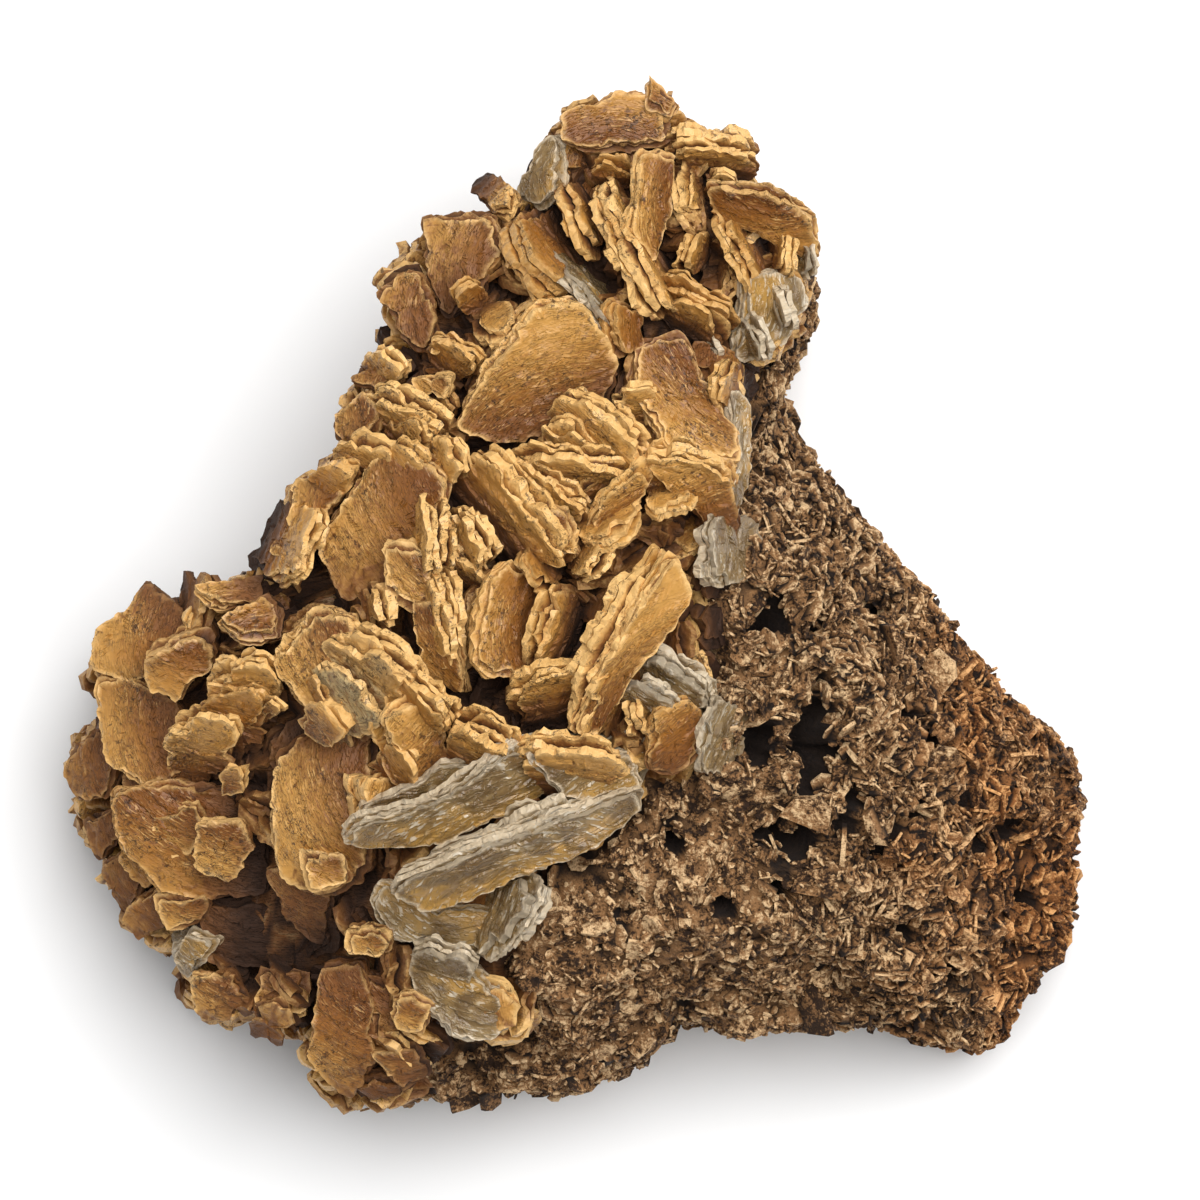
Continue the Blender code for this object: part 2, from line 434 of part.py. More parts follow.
# Flat crystals that stand proud of the rock where it shows: middle in plan, the three sizes, the
# direction and angle of the dip, the turn about its own face, and the height above the rock
ROCK_PLATES = [
    ((45.1, -8.4), (5.8, 3.8, 1.2), 30, 10, 0, 0.8),
    ((31.6, 5.9), (3.6, 2.8, 1.2), 60, 14, 30, 0.8),
    ((45.8, -19.5), (5.4, 1.6, 1.8), 270, 30, 0, 1.0),
    ((39, -5), (6.8, 4.2, 1.3), 62, 70, 0, 0.6),
    ((28.8, -26.4), (6.2, 3.4, 1.3), 90, 25, 0, 1.0),
    ((37, -27.4), (4.4, 3.2, 1.2), 80, 60, 0, 0.8),
    ((34.3, -31.2), (5.2, 3.2, 1.2), 100, 60, 0, 0.6),
    ((30, -34.9), (5.8, 3.6, 1.2), 290, 15, 20, 0.8),
    ((29.3, -51), (7.2, 5.0, 1.4), 280, 50, 0, 0.2),
    ((34, -50), (6.2, 5.0, 1.4), 250, 50, 25, 0.2),
    ((8.6, -48.3), (3.6, 3.0, 1.2), 270, 30, 0, 0.6),
]
SCATTERED_PLATES = 30
SCATTER_CENTRE = np.array([37.0, -24.0])
GOLDEN_ANGLE = 2.39996

# Open hollows in the rock: middle in plan, and radius
ROCK_PITS = [
    ((25.2, -1.9), 3.0), ((31, -9.2), 3.2), ((23.6, -17.2), 2.6), ((35.5, -14.5), 3.0),
    ((22, -22), 2.2), ((18.5, -38), 2.2), ((49, -31), 3.0), ((41, -41), 2.6), ((55, -28), 2.4),
]


def rock_plates():
    """The flat crystals listed, then scattered ones on the right, along a golden-angle spiral."""
    random = np.random.default_rng(SEED + 1)
    plates = list(ROCK_PLATES)
    for k in range(SCATTERED_PLATES):
        ray = np.array([np.cos(GOLDEN_ANGLE * k), 0.86 * np.sin(GOLDEN_ANGLE * k)])
        at = SCATTER_CENTRE + (7 + 4.6 * np.sqrt(k)) * ray
        size = (random.uniform(4, 6.6), random.uniform(3.4, 5.4), random.uniform(1.1, 1.7))
        toward, dip, turn = random.uniform(0, 360), random.uniform(35, 80), random.uniform(0, 90)
        bare = distance(at, CRUST_EDGE) > 6 and not inside(at, CRUST_OUTLINE)
        if bare and inside(at * 1.05, OUTLINE):
            plates.append((at, size, toward, dip, turn, 0.0))
    return plates


def add_rock_plate(mesh, at, size, toward, dip, turn, proud, grow=0.0):
    """One flat crystal: a five-sided tablet tipped by its dip, with its middle near the rock's
    surface, and each of its faces moved out by `grow`."""
    at, size = np.array(at, float), np.array(size) + 2 * grow
    along, tilt, spin = compass(toward), np.radians(dip), np.radians(turn)
    face = along * np.sin(tilt) + np.array([0, 0, np.cos(tilt)])
    across = np.array([-along[1], along[0], 0])
    third = np.cross(face, across)
    length = across * np.cos(spin) + third * np.sin(spin)
    width = np.cross(face, length)
    out = at - ROCK_CENTRE
    reach = ray_lengths(ROCK_CENTRE, OUTLINE, [np.arctan2(out[1], out[0])])[0]
    height = rock_top(*at) * edge_fall(np.linalg.norm(out) / reach)
    middle = np.array([*at, height + proud])
    shape = np.array([(-1, -1), (0.6, -1), (1, -0.5), (0.8, 1), (-1, 0.8)])
    plan = middle + shape[:, :1] * length * size[0] / 2 + shape[:, 1:] * width * size[1] / 2
    add_crystal(mesh, (plan + face * size[2] / 2, plan - face * size[2] / 2, None))


def add_pit(mesh, at, size):
    """A hollow's cutter: a five-sided point that goes down into the rock."""
    height = rock_top(*np.array(at, float))
    turns = np.radians(360 / 5 * np.arange(5) + 31 * size)
    ring = np.column_stack([np.cos(turns), np.sin(turns) * 0.8, np.zeros(5)])
    lip = np.array([*at, height + 2.5]) + ring * size
    waist = np.array([*at, height - 1.5]) + ring * size * 0.75
    add_crystal(mesh, (lip, waist, np.array([*at, height - 5.5])))


# Objects


def material(name, colour, roughness):
    """A Principled surface of one colour."""
    made = bpy.data.materials.new(name)
    made.use_nodes = True
    shader = made.node_tree.nodes["Principled BSDF"]
    shader.inputs["Base Color"].default_value = (*colour, 1)
    shader.inputs["Roughness"].default_value = roughness
    shader.inputs["Metallic"].default_value = 0
    return made


def add_object(name, mesh, finish, collection):
    made = bpy.data.objects.new(name, mesh)
    made.location = (-BASE_CENTRE[0] * MM, -BASE_CENTRE[1] * MM, 0)
    collection.objects.link(made)
    if finish:
        mesh.materials.append(finish)
    else:
        made.hide_render = True
        made.display_type = "WIRE"
    return made


def filled(name, add, items):
    """One mesh object's data for each item, made by `add` in a bmesh of its own."""
    meshes = []
    for k, item in enumerate(items):
        work = bmesh.new()
        add(work, item)
        mesh = bpy.data.meshes.new(f"{name}_{k}")
        work.to_mesh(mesh)
        work.free()
        meshes.append(mesh)
    return meshes


def helpers(name, meshes):
    """A collection of hidden bodies, for a Boolean."""
    group = bpy.data.collections.new(name)
    bpy.context.scene.collection.children.link(group)
    for mesh in meshes:
        add_object(mesh.name, mesh, None, group)
    return group


def boolean(target, operation, group):
    step = target.modifiers.new(operation.title(), "BOOLEAN")
    step.operation = operation
    step.solver = "EXACT"
    step.operand_type = "COLLECTION"
    step.collection = group


def bed_mesh():
    """The mass of crystal that the blades grow from: a low dome just inside the crust's outline."""
    centre = np.array([-8.0, 5.0])
    angles = np.arange(24) * 2 * np.pi / 24 + 0.05
    reach = ray_lengths(centre, CRUST_OUTLINE, angles) - BED_INSET
    ray = np.column_stack([np.cos(angles), np.sin(angles)])
    rings = []
    for share, drop in ((0.3, 0), (0.6, 0.5), (0.86, 2), (1, 8)):
        plan = centre + ray * (reach * share)[:, None]
        rings.append(np.column_stack([plan, crest(plan[:, 0], plan[:, 1]) - BED_DROP - drop]))
    for share in (0.97, 0.86):
        plan = centre + ray * (reach * share)[:, None]
        lower = crest(plan[:, 0], plan[:, 1]) - BED_DROP - CRUST_THICKNESS * (1.25 - 0.25 * share)
        rings.append(np.column_stack([plan, np.maximum(lower, BED_BOTTOM + 3 * (share > 0.9))]))
    return round_body("bed", centre, crest(*centre) - BED_DROP, rings)


for thing in list(bpy.data.objects):
    bpy.data.objects.remove(thing, do_unlink=True)
scene_root = bpy.context.scene.collection

rock_finish = material("rock_brown", (0.21, 0.13, 0.065), 0.9)
barite_finish = material("barite_honey", (0.47, 0.25, 0.08), 0.4)

rock = add_object("matrix", rock_mesh("matrix", 0), rock_finish, scene_root)
plates = rock_plates()
plate_meshes = filled("rock_plate", lambda mesh, row: add_rock_plate(mesh, *row), plates)
pit_meshes = filled("rock_pit", lambda mesh, row: add_pit(mesh, *row), ROCK_PITS)
boolean(rock, "UNION", helpers("rock_plates", plate_meshes))
boolean(rock, "DIFFERENCE", helpers("rock_pits", pit_meshes))

crust = add_object("barite_crust", bed_mesh(), barite_finish, scene_root)
boolean(crust, "UNION", helpers("crystals", filled("crystal", add_crystal, CRYSTALS)))
seats = filled("plate_seat", lambda mesh, row: add_rock_plate(mesh, *row, grow=CRUST_GAP), plates)
boolean(crust, "DIFFERENCE", helpers("crust_seat", [rock_mesh("rock_seat", CRUST_GAP), *seats]))
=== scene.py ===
"""Barite specimen: the looks of its two natural pieces, a crust of honey-coloured blades and the brown
rock that it grew on.

Plan positions are millimetres seen from straight above, in the specimen's own frame: +X towards the
bare rock, +Y towards the upper lobe of crystals. Angles are degrees; a compass direction counts from
+X towards +Y, and a dip counts from the horizontal.
"""

import bpy
import numpy as np
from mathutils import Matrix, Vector


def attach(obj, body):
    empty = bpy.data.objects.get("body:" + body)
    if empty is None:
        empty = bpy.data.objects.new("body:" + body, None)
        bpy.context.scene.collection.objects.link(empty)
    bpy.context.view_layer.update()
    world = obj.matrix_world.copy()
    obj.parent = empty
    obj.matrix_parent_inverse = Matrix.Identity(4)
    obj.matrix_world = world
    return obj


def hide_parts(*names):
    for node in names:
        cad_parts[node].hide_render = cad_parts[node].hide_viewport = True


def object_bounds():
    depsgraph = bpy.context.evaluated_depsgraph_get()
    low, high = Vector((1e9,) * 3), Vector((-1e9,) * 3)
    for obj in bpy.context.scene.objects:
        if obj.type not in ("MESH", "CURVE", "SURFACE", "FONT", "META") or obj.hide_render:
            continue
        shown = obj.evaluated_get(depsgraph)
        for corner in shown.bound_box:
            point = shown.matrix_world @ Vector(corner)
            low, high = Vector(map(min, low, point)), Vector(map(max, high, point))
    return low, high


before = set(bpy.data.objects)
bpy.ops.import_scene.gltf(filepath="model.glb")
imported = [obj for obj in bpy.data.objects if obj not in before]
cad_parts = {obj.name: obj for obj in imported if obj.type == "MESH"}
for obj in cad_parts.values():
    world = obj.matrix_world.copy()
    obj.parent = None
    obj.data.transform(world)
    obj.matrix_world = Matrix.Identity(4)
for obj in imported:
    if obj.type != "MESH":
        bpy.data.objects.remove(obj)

CAD_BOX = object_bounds()

# Barite blades. The crust is one growth of flat barite crystals. Each is a slab of thin leaves grown
# tight together: its face shows curved growth lines, and its free edge a bundle of pale, broken leaf
# ends. The blades share a low bed of crystal, and joined where they met.

MM = 0.001
BASE_CENTRE = np.array([-0.25, 0.1, 0.0])
CREST_TOP = 62.0
CREST_AT = (4.0, 8.0)
CREST_FALL = (0.0072, 0.0036)
SHARP_ANGLE = 32


def crest(x, y):
    """Height of the crystals' tips: a low dome that falls by a square law from its top."""
    return CREST_TOP - CREST_FALL[0] * (x - CREST_AT[0]) ** 2 - CREST_FALL[1] * (y - CREST_AT[1]) ** 2


def smoothstep(t):
    """An eased step from 0 to 1: 3t² - 2t³, level outside that range."""
    t = np.clip(t, 0, 1)
    return t * t * (3 - 2 * t)


def compass(degrees):
    """The level unit vector that points in a compass direction."""
    return np.array([np.cos(np.radians(degrees)), np.sin(np.radians(degrees)), 0.0])


def noise(points, size, seed=0):
    """Value noise from 0 to 1: a scrambled number for each corner of a cubic lattice of the given
    size, eased between the corners."""
    place = np.asarray(points) / size
    cell = np.floor(place).astype(np.int64)
    share = smoothstep(place - cell)
    total = 0
    for corner in np.ndindex(2, 2, 2):
        x, y, z = np.moveaxis(cell + corner, -1, 0)
        mixed = (x * 73856093) ^ (y * 19349663) ^ (z * 83492791) ^ (seed * 40503551)
        mixed = (mixed ^ (mixed >> 13)) * 1274126177
        value = ((mixed ^ (mixed >> 16)) & 0xFFFF) / 0xFFFF
        total = total + value * np.prod(np.where(corner, share, 1 - share), axis=-1)
    return total


def bumps(points, height, size, seed):
    """Noise of a height and size, level on average."""
    return height * (noise(points, size, seed) - 0.5)


class Pile:
    """Triangles gathered for one mesh. Each point carries two attributes: `growth`, whose channels
    are nearness to an edge, depth in the crust, the blade's own shade, and nearness to its root; and
    `lines`, its place along a growth line, its distance across the lines, and how grey it is."""

    def __init__(self):
        self.points, self.faces, self.growth, self.lines, self.count = [], [], [], [], 0

    def add(self, points, faces, growth, lines=None):
        """Add points, their triangles and their attributes."""
        self.points.append(points)
        self.faces.append(faces + self.count)
        self.growth.append(growth)
        self.lines.append(points if lines is None else lines)
        self.count += len(points)

    def make(self, name, material):
        """Turn the pile into a mesh object inside the specimen's box, with sharp edges left crisp."""
        points = (np.vstack(self.points) - BASE_CENTRE) * MM
        points = np.clip(points, *np.array(CAD_BOX, float))
        faces = np.vstack(self.faces).astype(np.int32)
        mesh = bpy.data.meshes.new(name)
        mesh.vertices.add(len(points))
        mesh.vertices.foreach_set("co", points.astype(np.float32).ravel())
        mesh.loops.add(faces.size)
        mesh.loops.foreach_set("vertex_index", faces.ravel())
        mesh.polygons.add(len(faces))
        mesh.polygons.foreach_set("loop_start", np.arange(0, faces.size, 3, dtype=np.int32))
        mesh.update(calc_edges=True)
        growth = mesh.attributes.new("growth", "FLOAT_COLOR", "POINT")
        growth.data.foreach_set("color", np.vstack(self.growth).astype(np.float32).ravel())
        lines = mesh.attributes.new("lines", "FLOAT_VECTOR", "POINT")
        lines.data.foreach_set("vector", np.vstack(self.lines).astype(np.float32).ravel())
        mesh.shade_smooth()
        mesh.set_sharp_from_angle(angle=np.radians(SHARP_ANGLE))
        mesh.materials.append(material)
        made = bpy.data.objects.new(name, mesh)
        bpy.context.scene.collection.objects.link(made)
        return made


# How plates and fins grew: how far their leaves fan out, how broken their edges are, how bowed they
# are, whether the face is seen, whether they hang from the crust's side, and their spread, which is
# how much larger they are than the outline that is seen
PLATE_HABIT = {"fan": 0.1, "broken": 0.6, "bow": 0.10, "face": True, "hanging": False, "spread": 1.13}
FIN_HABIT = {"fan": 0.75, "broken": 1.5, "bow": 0.07, "face": False, "hanging": False, "spread": 1.07}
OUTWARD = (150, 275)


def plate(corners, toward, dip, up=-3.0, thick=2.0, rooted=False, grey=0.0):
    """A crystal seen on its face: plan corners on a plane that descends toward a compass direction,
    with its middle `up` from the crest. Those rooted in the middle of the crust or facing west grew
    outwards and down, and the others up towards their high edge."""
    corners = np.array(corners, float)
    middle = corners.mean(0)
    along = compass(toward)
    height = crest(*middle) + up - np.tan(np.radians(dip)) * (corners - middle) @ along[:2]
    normal = along * np.sin(np.radians(dip)) + np.array([0, 0, np.cos(np.radians(dip))])
    uphill = np.array([0, 0, 1.0]) - normal * normal[2]
    free = -uphill if rooted or OUTWARD[0] <= toward <= OUTWARD[1] else uphill
    made = {**PLATE_HABIT, "rim": np.column_stack([corners, height]), "normal": normal, "free": free,
            "thick": thick, "grey": grey}
    return {**made, "spread": 1.0} if rooted else made


# A fin's outline, from end to end of its ridge and from the ridge down to the bed
FIN_SHAPE = np.array([(-1, 0.22), (-0.6, 0), (0.1, -0.05), (0.62, 0.02), (1, 0.25), (0.8, 1), (-0.8, 1)])


def fin(start, end, toward, dip=72, up=0.0, thick=1.6, depth=14.0, grey=0.0):
    """A crystal seen on its edge: its ridge runs from start to end, and its leaves go down from
    there into the bed, across the ridge, on the side nearest to a compass direction."""
    start, end = (np.array([*p, crest(*p) + up]) for p in (start, end))
    half = (end - start) / 2
    side = np.array([-half[1], half[0], 0.0])
    side /= np.linalg.norm(side)
    if side @ compass(toward) < 0:
        side = -side
    down = side * np.cos(np.radians(dip)) - np.array([0, 0, np.sin(np.radians(dip))])
    rim = (start + end) / 2 + FIN_SHAPE[:, :1] * half + FIN_SHAPE[:, 1:] * down * depth
    normal = np.cross(half, down)
    normal /= np.linalg.norm(normal) * (1 if normal[2] > 0 else -1)
    return {**FIN_HABIT, "rim": rim + normal * thick / 2, "normal": normal, "free": -down,
            "thick": thick, "grey": grey}


def ring_faces(count, rings):
    """Triangles of a closed body of rings: a fan from a first point, bands between the rings, and a
    fan to a last point."""
    k = np.arange(count)
    j = (k + 1) % count
    last = 1 + (rings - 1) * count
    parts = [np.column_stack([np.zeros_like(k), 1 + k, 1 + j])]
    for r in range(rings - 1):
        near, far = 1 + r * count, 1 + (r + 1) * count
        parts.append(np.column_stack([near + k, far + k, far + j]))
        parts.append(np.column_stack([near + k, far + j, near + j]))
    parts.append(np.column_stack([last + k, np.full_like(k, last + count), last + j]))
    return np.vstack(parts)


def even_outline(corners, spacing, fewest, most):
    """A closed outline with its corners cut twice and its points evenly spaced."""
    for share in (0.11, 0.22):
        after = np.roll(corners, -1, axis=0)
        cut = [(1 - share) * corners + share * after, share * corners + (1 - share) * after]
        corners = np.stack(cut, 1).reshape(-1, 2)
    closed = np.vstack([corners, corners[:1]])
    along = np.concatenate([[0], np.cumsum(np.linalg.norm(np.diff(closed, axis=0), axis=1))])
    count = int(np.clip(along[-1] / spacing, fewest, most))
    at = np.arange(count) * along[-1] / count
    return np.column_stack([np.interp(at, along, closed[:, 0]), np.interp(at, along, closed[:, 1])]), at


# How a leaf's edge breaks: small lobes and teeth, and long breaks; then how far the top leaf stands
# back, the least share of the way out that is left, and a leaf's run down the side
LOBE_SIZE, LOBE_DEPTH = 2.1, 0.45
TOOTH_SIZE, TOOTH_DEPTH = 0.8, 0.4
BREAK_SIZE = 3.4
TOP_LEAF_INSET = 0.35
LEAST_SHARE = 0.35
LEAF_RUN = 3.1

# A slab's relief: terraces and a slow wave on its face, and small chips all over, which are larger at
# the edges and in the grooves; then the depth in the crust at which the painted shade in the gaps is
# darkest
TERRACE_HEIGHT = 0.30
WAVE_SIZE, WAVE_HEIGHT = 1.8, 0.34
CHIP_SIZE, CHIP_DEPTH = 0.8, 0.10
EDGE_CHIPS, GROOVE_CHIPS = 0.20, 0.2
FULL_SHADE_DEPTH = 6.5


def ragged(places, seed):
    """How far an edge is broken in: ridged noise of two sizes, so that round lobes meet in notches."""
    lobes = 1 - np.abs(2 * noise(places, LOBE_SIZE, seed) - 1)
    teeth = 1 - np.abs(2 * noise(places, TOOTH_SIZE, seed + 1) - 1)
    return LOBE_DEPTH * lobes ** 2 + TOOTH_DEPTH * teeth ** 2


def leaf_rows(crystal, outline, radius, layers, random, seed):
    """Rows of points down a slab's side, three to a leaf: its upper edge, its lower edge, and the
    groove below it. Each leaf is broken in by its own noise. The rows give the share of the way out,
    the lift, nearness to an edge, the groove's depth and the way down the side; and with them comes
    the thickness of the first leaf."""
    tops = np.cumsum([0, *random.uniform(0.4, 1.6, layers)])
    tops *= crystal["thick"] / tops[-1]
    rows = []
    for layer in range(layers):
        places = np.column_stack([outline, np.full(len(outline), 4.3 * layer)])
        broken = crystal["broken"] * smoothstep(5 * noise(places, BREAK_SIZE, seed + 1) - 2.4)
        inset = ragged(places, seed + 2) * min(crystal["broken"], 1.0) + broken
        inset += TOP_LEAF_INSET * (layer == 0)
        inset += random.uniform(-0.1, 0.45)
        leaf = tops[layer + 1] - tops[layer]
        cut = random.uniform(0.15, 1.0)
        wave = 0.3 * leaf * (noise(places, BREAK_SIZE, seed + 4) * 2 - 1)
        steps = [(0, 0.0, 1.0, 0.0), (0.04, 0.76, 0.95, 0.0), (cut, 0.9, 0.0, 0.9 * cut)]
        for step, (more, level, shine, groove) in enumerate(steps[:2 if layer == layers - 1 else 3]):
            share = np.maximum(1 - (inset + more) / radius, LEAST_SHARE)
            run = LEAF_RUN * layer + 0.9 * step
            lift = wave - tops[layer] - level * leaf
            rows.append([share, lift, *(np.full(len(outline), value) for value in (shine, groove, run))])
    return np.stack(rows, axis=1), tops[1]


def growth_lines(places, low, high, size, random, seed):
    """Curved growth lines about a point below the blade's root: the way along a line, the distance
    across the lines, and a saw-tooth of that distance, made uneven by noise."""
    origin = np.array([random.uniform(-0.3, 0.3) * size, low - 0.7 * (high - low)])
    reach = np.linalg.norm(places[:, :2] - origin, axis=1)
    turn = np.arctan2(places[:, 0] - origin[0], places[:, 1] - origin[1]) * reach.mean()
    wander = 1.5 * noise(places, 2.6, seed + 6) + 0.6 * noise(places, 0.9, seed + 7)
    return turn, reach, ((reach + wander) / random.uniform(1.7, 2.9)) % 1 - 0.5


def add_blade(pile, crystal, random, spacing, layers, most_rings=13):
    """Put one crystal into a pile as a slab. Its face is rings from a middle out to the rim, bent by
    a bow and lifted in low terraces across the growth lines. Its side is a stack of leaf edges with
    grooves between them, fanned out towards the free edge. Both are chipped by small noise."""
    rim, normal = crystal["rim"], crystal["normal"]
    across = np.cross(crystal["free"], normal)
    across /= np.linalg.norm(across)
    upward = np.cross(normal, across)
    middle = rim.mean(0)
    flat = np.column_stack([(rim - middle) @ across, (rim - middle) @ upward]) * crystal["spread"]
    if (flat[:, 0] * np.roll(flat[:, 1], -1) - flat[:, 1] * np.roll(flat[:, 0], -1)).sum() < 0:
        flat = flat[::-1]
    outline, along = even_outline(flat, spacing, 20, 120)
    count = len(outline)
    centre = outline.mean(0)
    radius = np.linalg.norm(outline - centre, axis=1)
    size = radius.mean()
    low, high = outline[:, 1].min(), outline[:, 1].max()
    seed = int(random.integers(1 << 20))
    (shares, heights, edges, grooves, runs), first_leaf = leaf_rows(
        crystal, outline, radius, layers, random, seed)

    rings = int(np.clip(size / spacing / 1.25, 4, most_rings))
    face = np.linspace(0, 1, rings + 1)[1:-1, None] ** 0.9
    level, last = np.zeros((len(face), count)), np.zeros((1, count))
    shares = np.vstack([face * shares[0], shares, 0.5 * shares[-1:]])
    flats = centre + (outline - centre) * shares[..., None]
    heights = np.vstack([heights[0] * face ** 6, heights, heights[-1:]])

    def column(rows, first=0.0, final=0.0):
        """Rows of values as one run, with the values of the middle points of face and back."""
        return np.concatenate([[first], rows.ravel(), [final]])

    plan = np.vstack([centre, flats.reshape(-1, 2), centre])
    lift = column(heights, 0.0, heights[-1].mean())
    edge = column(np.vstack([np.exp((face - 1) * radius), edges, last]))
    groove = column(np.vstack([level, grooves, last + 0.4]), 0.0, 0.4)
    run = column(np.vstack([level, runs, last]))
    on_side = column(np.repeat(np.arange(len(flats)) > len(face), count))
    trail = column(np.tile(along, len(flats)))

    up_share = (plan[:, 1] - low) / (high - low)
    places = np.column_stack([plan, np.full(len(plan), 0.7)])
    turn, reach, terrace = growth_lines(places, low, high, size, random, seed)
    above = lift > -0.4 * first_leaf
    lift = lift * (1 + crystal["fan"] * (up_share - 0.45))
    wave = bumps(places, WAVE_HEIGHT, WAVE_SIZE, seed + 8)
    lift += above * (TERRACE_HEIGHT * terrace * (edge < 0.9) + wave)
    bow, dish = random.normal(crystal["bow"], 0.07), random.normal(0.3 * crystal["bow"], 0.05)
    across_share, along_share = ((plan - centre) / size).T
    lift -= size * (bow * across_share ** 2 + dish * along_share ** 2)
    lift += size * random.normal(0, 0.05) * across_share * along_share
    points = middle + plan[:, :1] * across + plan[:, 1:] * upward + lift[:, None] * normal
    chips = np.column_stack([noise(points, CHIP_SIZE, seed + k) for k in (9, 10, 11)]) * 2 - 1
    points += chips * (CHIP_DEPTH + EDGE_CHIPS * edge + GROOVE_CHIPS * groove)[:, None]

    # Painted shade: points deep below the crest, and in the grooves between leaves, are painted dark brown
    # to near black by the shader
    below = crest(points[:, 0], points[:, 1]) - points[:, 2] - 1.2
    # Blades that hang from the rim: painted shade, darker towards their root
    if crystal["hanging"]:
        below = 3.0 * (1 - up_share) + 0.10 * below
    depth = np.clip(np.clip(below / FULL_SHADE_DEPTH, 0, 1) + groove, 0, 1)
    shade = random.uniform(0, 1)
    growth = np.column_stack([edge, depth, np.full(len(plan), shade), 1 - up_share])
    lines = np.where(on_side > 0, [trail, run + lift], [turn, reach]).T + random.uniform(0, 90, 2)
    grey = np.full(len(plan), crystal["grey"] * (0.75 + 0.5 * shade))
    pile.add(points, ring_faces(count, len(flats)), growth, np.column_stack([lines, grey]))


# The specimen's edge seen from above, and the line where the crust ends on the rock
OUTLINE = [
    (-3, 60), (5, 64), (12, 62.5), (20, 58), (23.5, 51), (29.5, 45), (29.5, 36), (23.5, 28),
    (27.5, 21.5), (33.5, 13.5), (43.5, 1.8), (54, -11.4), (61, -17), (65.8, -24.5), (65, -35),
    (62.9, -43), (57.3, -49.5), (52.9, -55.8), (46.6, -56), (39, -53), (33.5, -53), (27.9, -54.3),
    (20.4, -54.5), (12.9, -54.5), (7.9, -58.9), (0, -61.7), (-7.5, -62.6), (-20, -64), (-28, -66),
    (-33.5, -60), (-36.5, -54), (-47.5, -53), (-51, -46), (-57.5, -41), (-61, -34), (-64.5, -26),
    (-65, -18), (-60.5, -13), (-62, -6), (-56.6, 0), (-50.2, 0.5), (-42.5, 4), (-38, 8), (-36, 14),
    (-30.5, 19), (-29, 27), (-24, 33), (-25, 40), (-20, 47), (-12.5, 48.8), (-8, 51),
]
CRUST_EDGE = [
    (23.1, 28), (22.3, 24.3), (21.6, 18), (21, 11.8), (17.5, 5.5), (16.5, 0.5), (17.9, -9.5),
    (15.4, -15.8), (14, -20.8), (8.3, -22.5), (7.9, -26.4), (2.9, -30.8), (-3.4, -33.3),
    (-9.6, -45.8), (-4.6, -49.5), (-5.3, -55.1), (-17, -56.5), (-20.3, -62.6),
]
CRUST_OUTLINE = OUTLINE[:7] + CRUST_EDGE + OUTLINE[28:]


def inside(points, outline):
    """Whether each plan point lies inside the outline: it is crossed an odd number of times."""
    a = np.array(outline, float)
    b = np.roll(a, -1, axis=0)
    x, y = points[..., None, 0], points[..., None, 1]
    spans = (a[:, 1] > y) != (b[:, 1] > y)
    rise = np.where(a[:, 1] == b[:, 1], 1, b[:, 1] - a[:, 1])
    left = x < a[:, 0] + (y - a[:, 1]) / rise * (b[:, 0] - a[:, 0])
    return (spans & left).sum(-1) % 2 == 1


def distance(points, line):
    """Each plan point's distance from a line of straight stretches."""
    a = np.array(line[:-1], float)
    step = np.array(line[1:], float) - a
    rest = points[..., None, :] - a
    share = np.clip((rest * step).sum(-1) / (step * step).sum(-1), 0, 1)
    return np.linalg.norm(rest - share[..., None] * step, axis=-1).min(-1)


# Dark hollows between the blades, left open: middle in plan, and radius
HOLLOWS = [
    ((1, 40.5), 4), ((6, 51.5), 3), ((-2.5, 45), 3), ((10, 43.5), 2.5), ((-12, -18.5), 3.5),
    ((-32, 1.5), 3), ((0, -4.5), 2.5), ((-46, -18.5), 4), ((-27, -35.5), 3), ((-43, -39.5), 3),
    ((-36, -43), 4), ((-39.5, -46), 3), ((-27, -28.5), 2.5), ((-26, -48.5), 2.5), ((-4, -13.5), 2),
    ((5, -14.5), 2.5), ((-40, -36.5), 2), ((22.8, 44.5), 2.2), ((-11, 20.5), 2.0),
]


def hollow_at(place):
    """Whether a plan point is in one of the hollows that stay open."""
    return any(np.linalg.norm(place - np.array(at, float)) < radius for at, radius in HOLLOWS)


RIM_MARGIN = 3.0


def neighbours(crystal, random, count, plates):
    """Smaller blades beside a crystal, nearly parallel to it: lower down, each shifted through the
    crystal's thickness and a little towards its free edge, or to its other side. None is put in a
    hollow, or where it would come up through another of the listed plates."""
    rim, normal, thick = crystal["rim"], crystal["normal"], crystal["thick"]
    free = crystal["free"] / np.linalg.norm(crystal["free"])
    middle = rim.mean(0)
    across = np.cross(free, normal)
    size = np.linalg.norm(rim - middle, axis=1).mean()
    made = []
    for k in range(count):
        if crystal["face"]:
            scale = random.uniform(0.5, 0.85)
            shift = free * random.uniform(0.1, 0.35) * size - normal * (thick + random.uniform(0.3, 2))
        else:
            scale = random.uniform(0.45, 0.8)
            apart = (thick + random.uniform(1.5, 4.0)) * (1 if k % 2 else -1)
            shift = normal * apart - free * random.uniform(0.45, 0.9) * size
        shift = shift + across * random.uniform(-0.55, 0.55) * size
        lean = normal + random.normal(0, 0.14, 3)
        place = (middle + shift)[:2]
        rim_away = distance(place, CRUST_OUTLINE + CRUST_OUTLINE[:1])
        if not inside(place, CRUST_OUTLINE) or rim_away < RIM_MARGIN:
            continue
        covered = any(inside(place, other["rim"][:, :2]) for other in plates if other is not crystal)
        if covered or hollow_at(place):
            continue
        made.append({
            **crystal, "rim": middle + shift + (rim - middle) * scale,
            "normal": lean / np.linalg.norm(lean), "thick": max(0.9, thick * random.uniform(0.45, 0.8)),
            "free": free - lean * (free @ lean), "grey": crystal["grey"] * 0.8,
        })
    return made


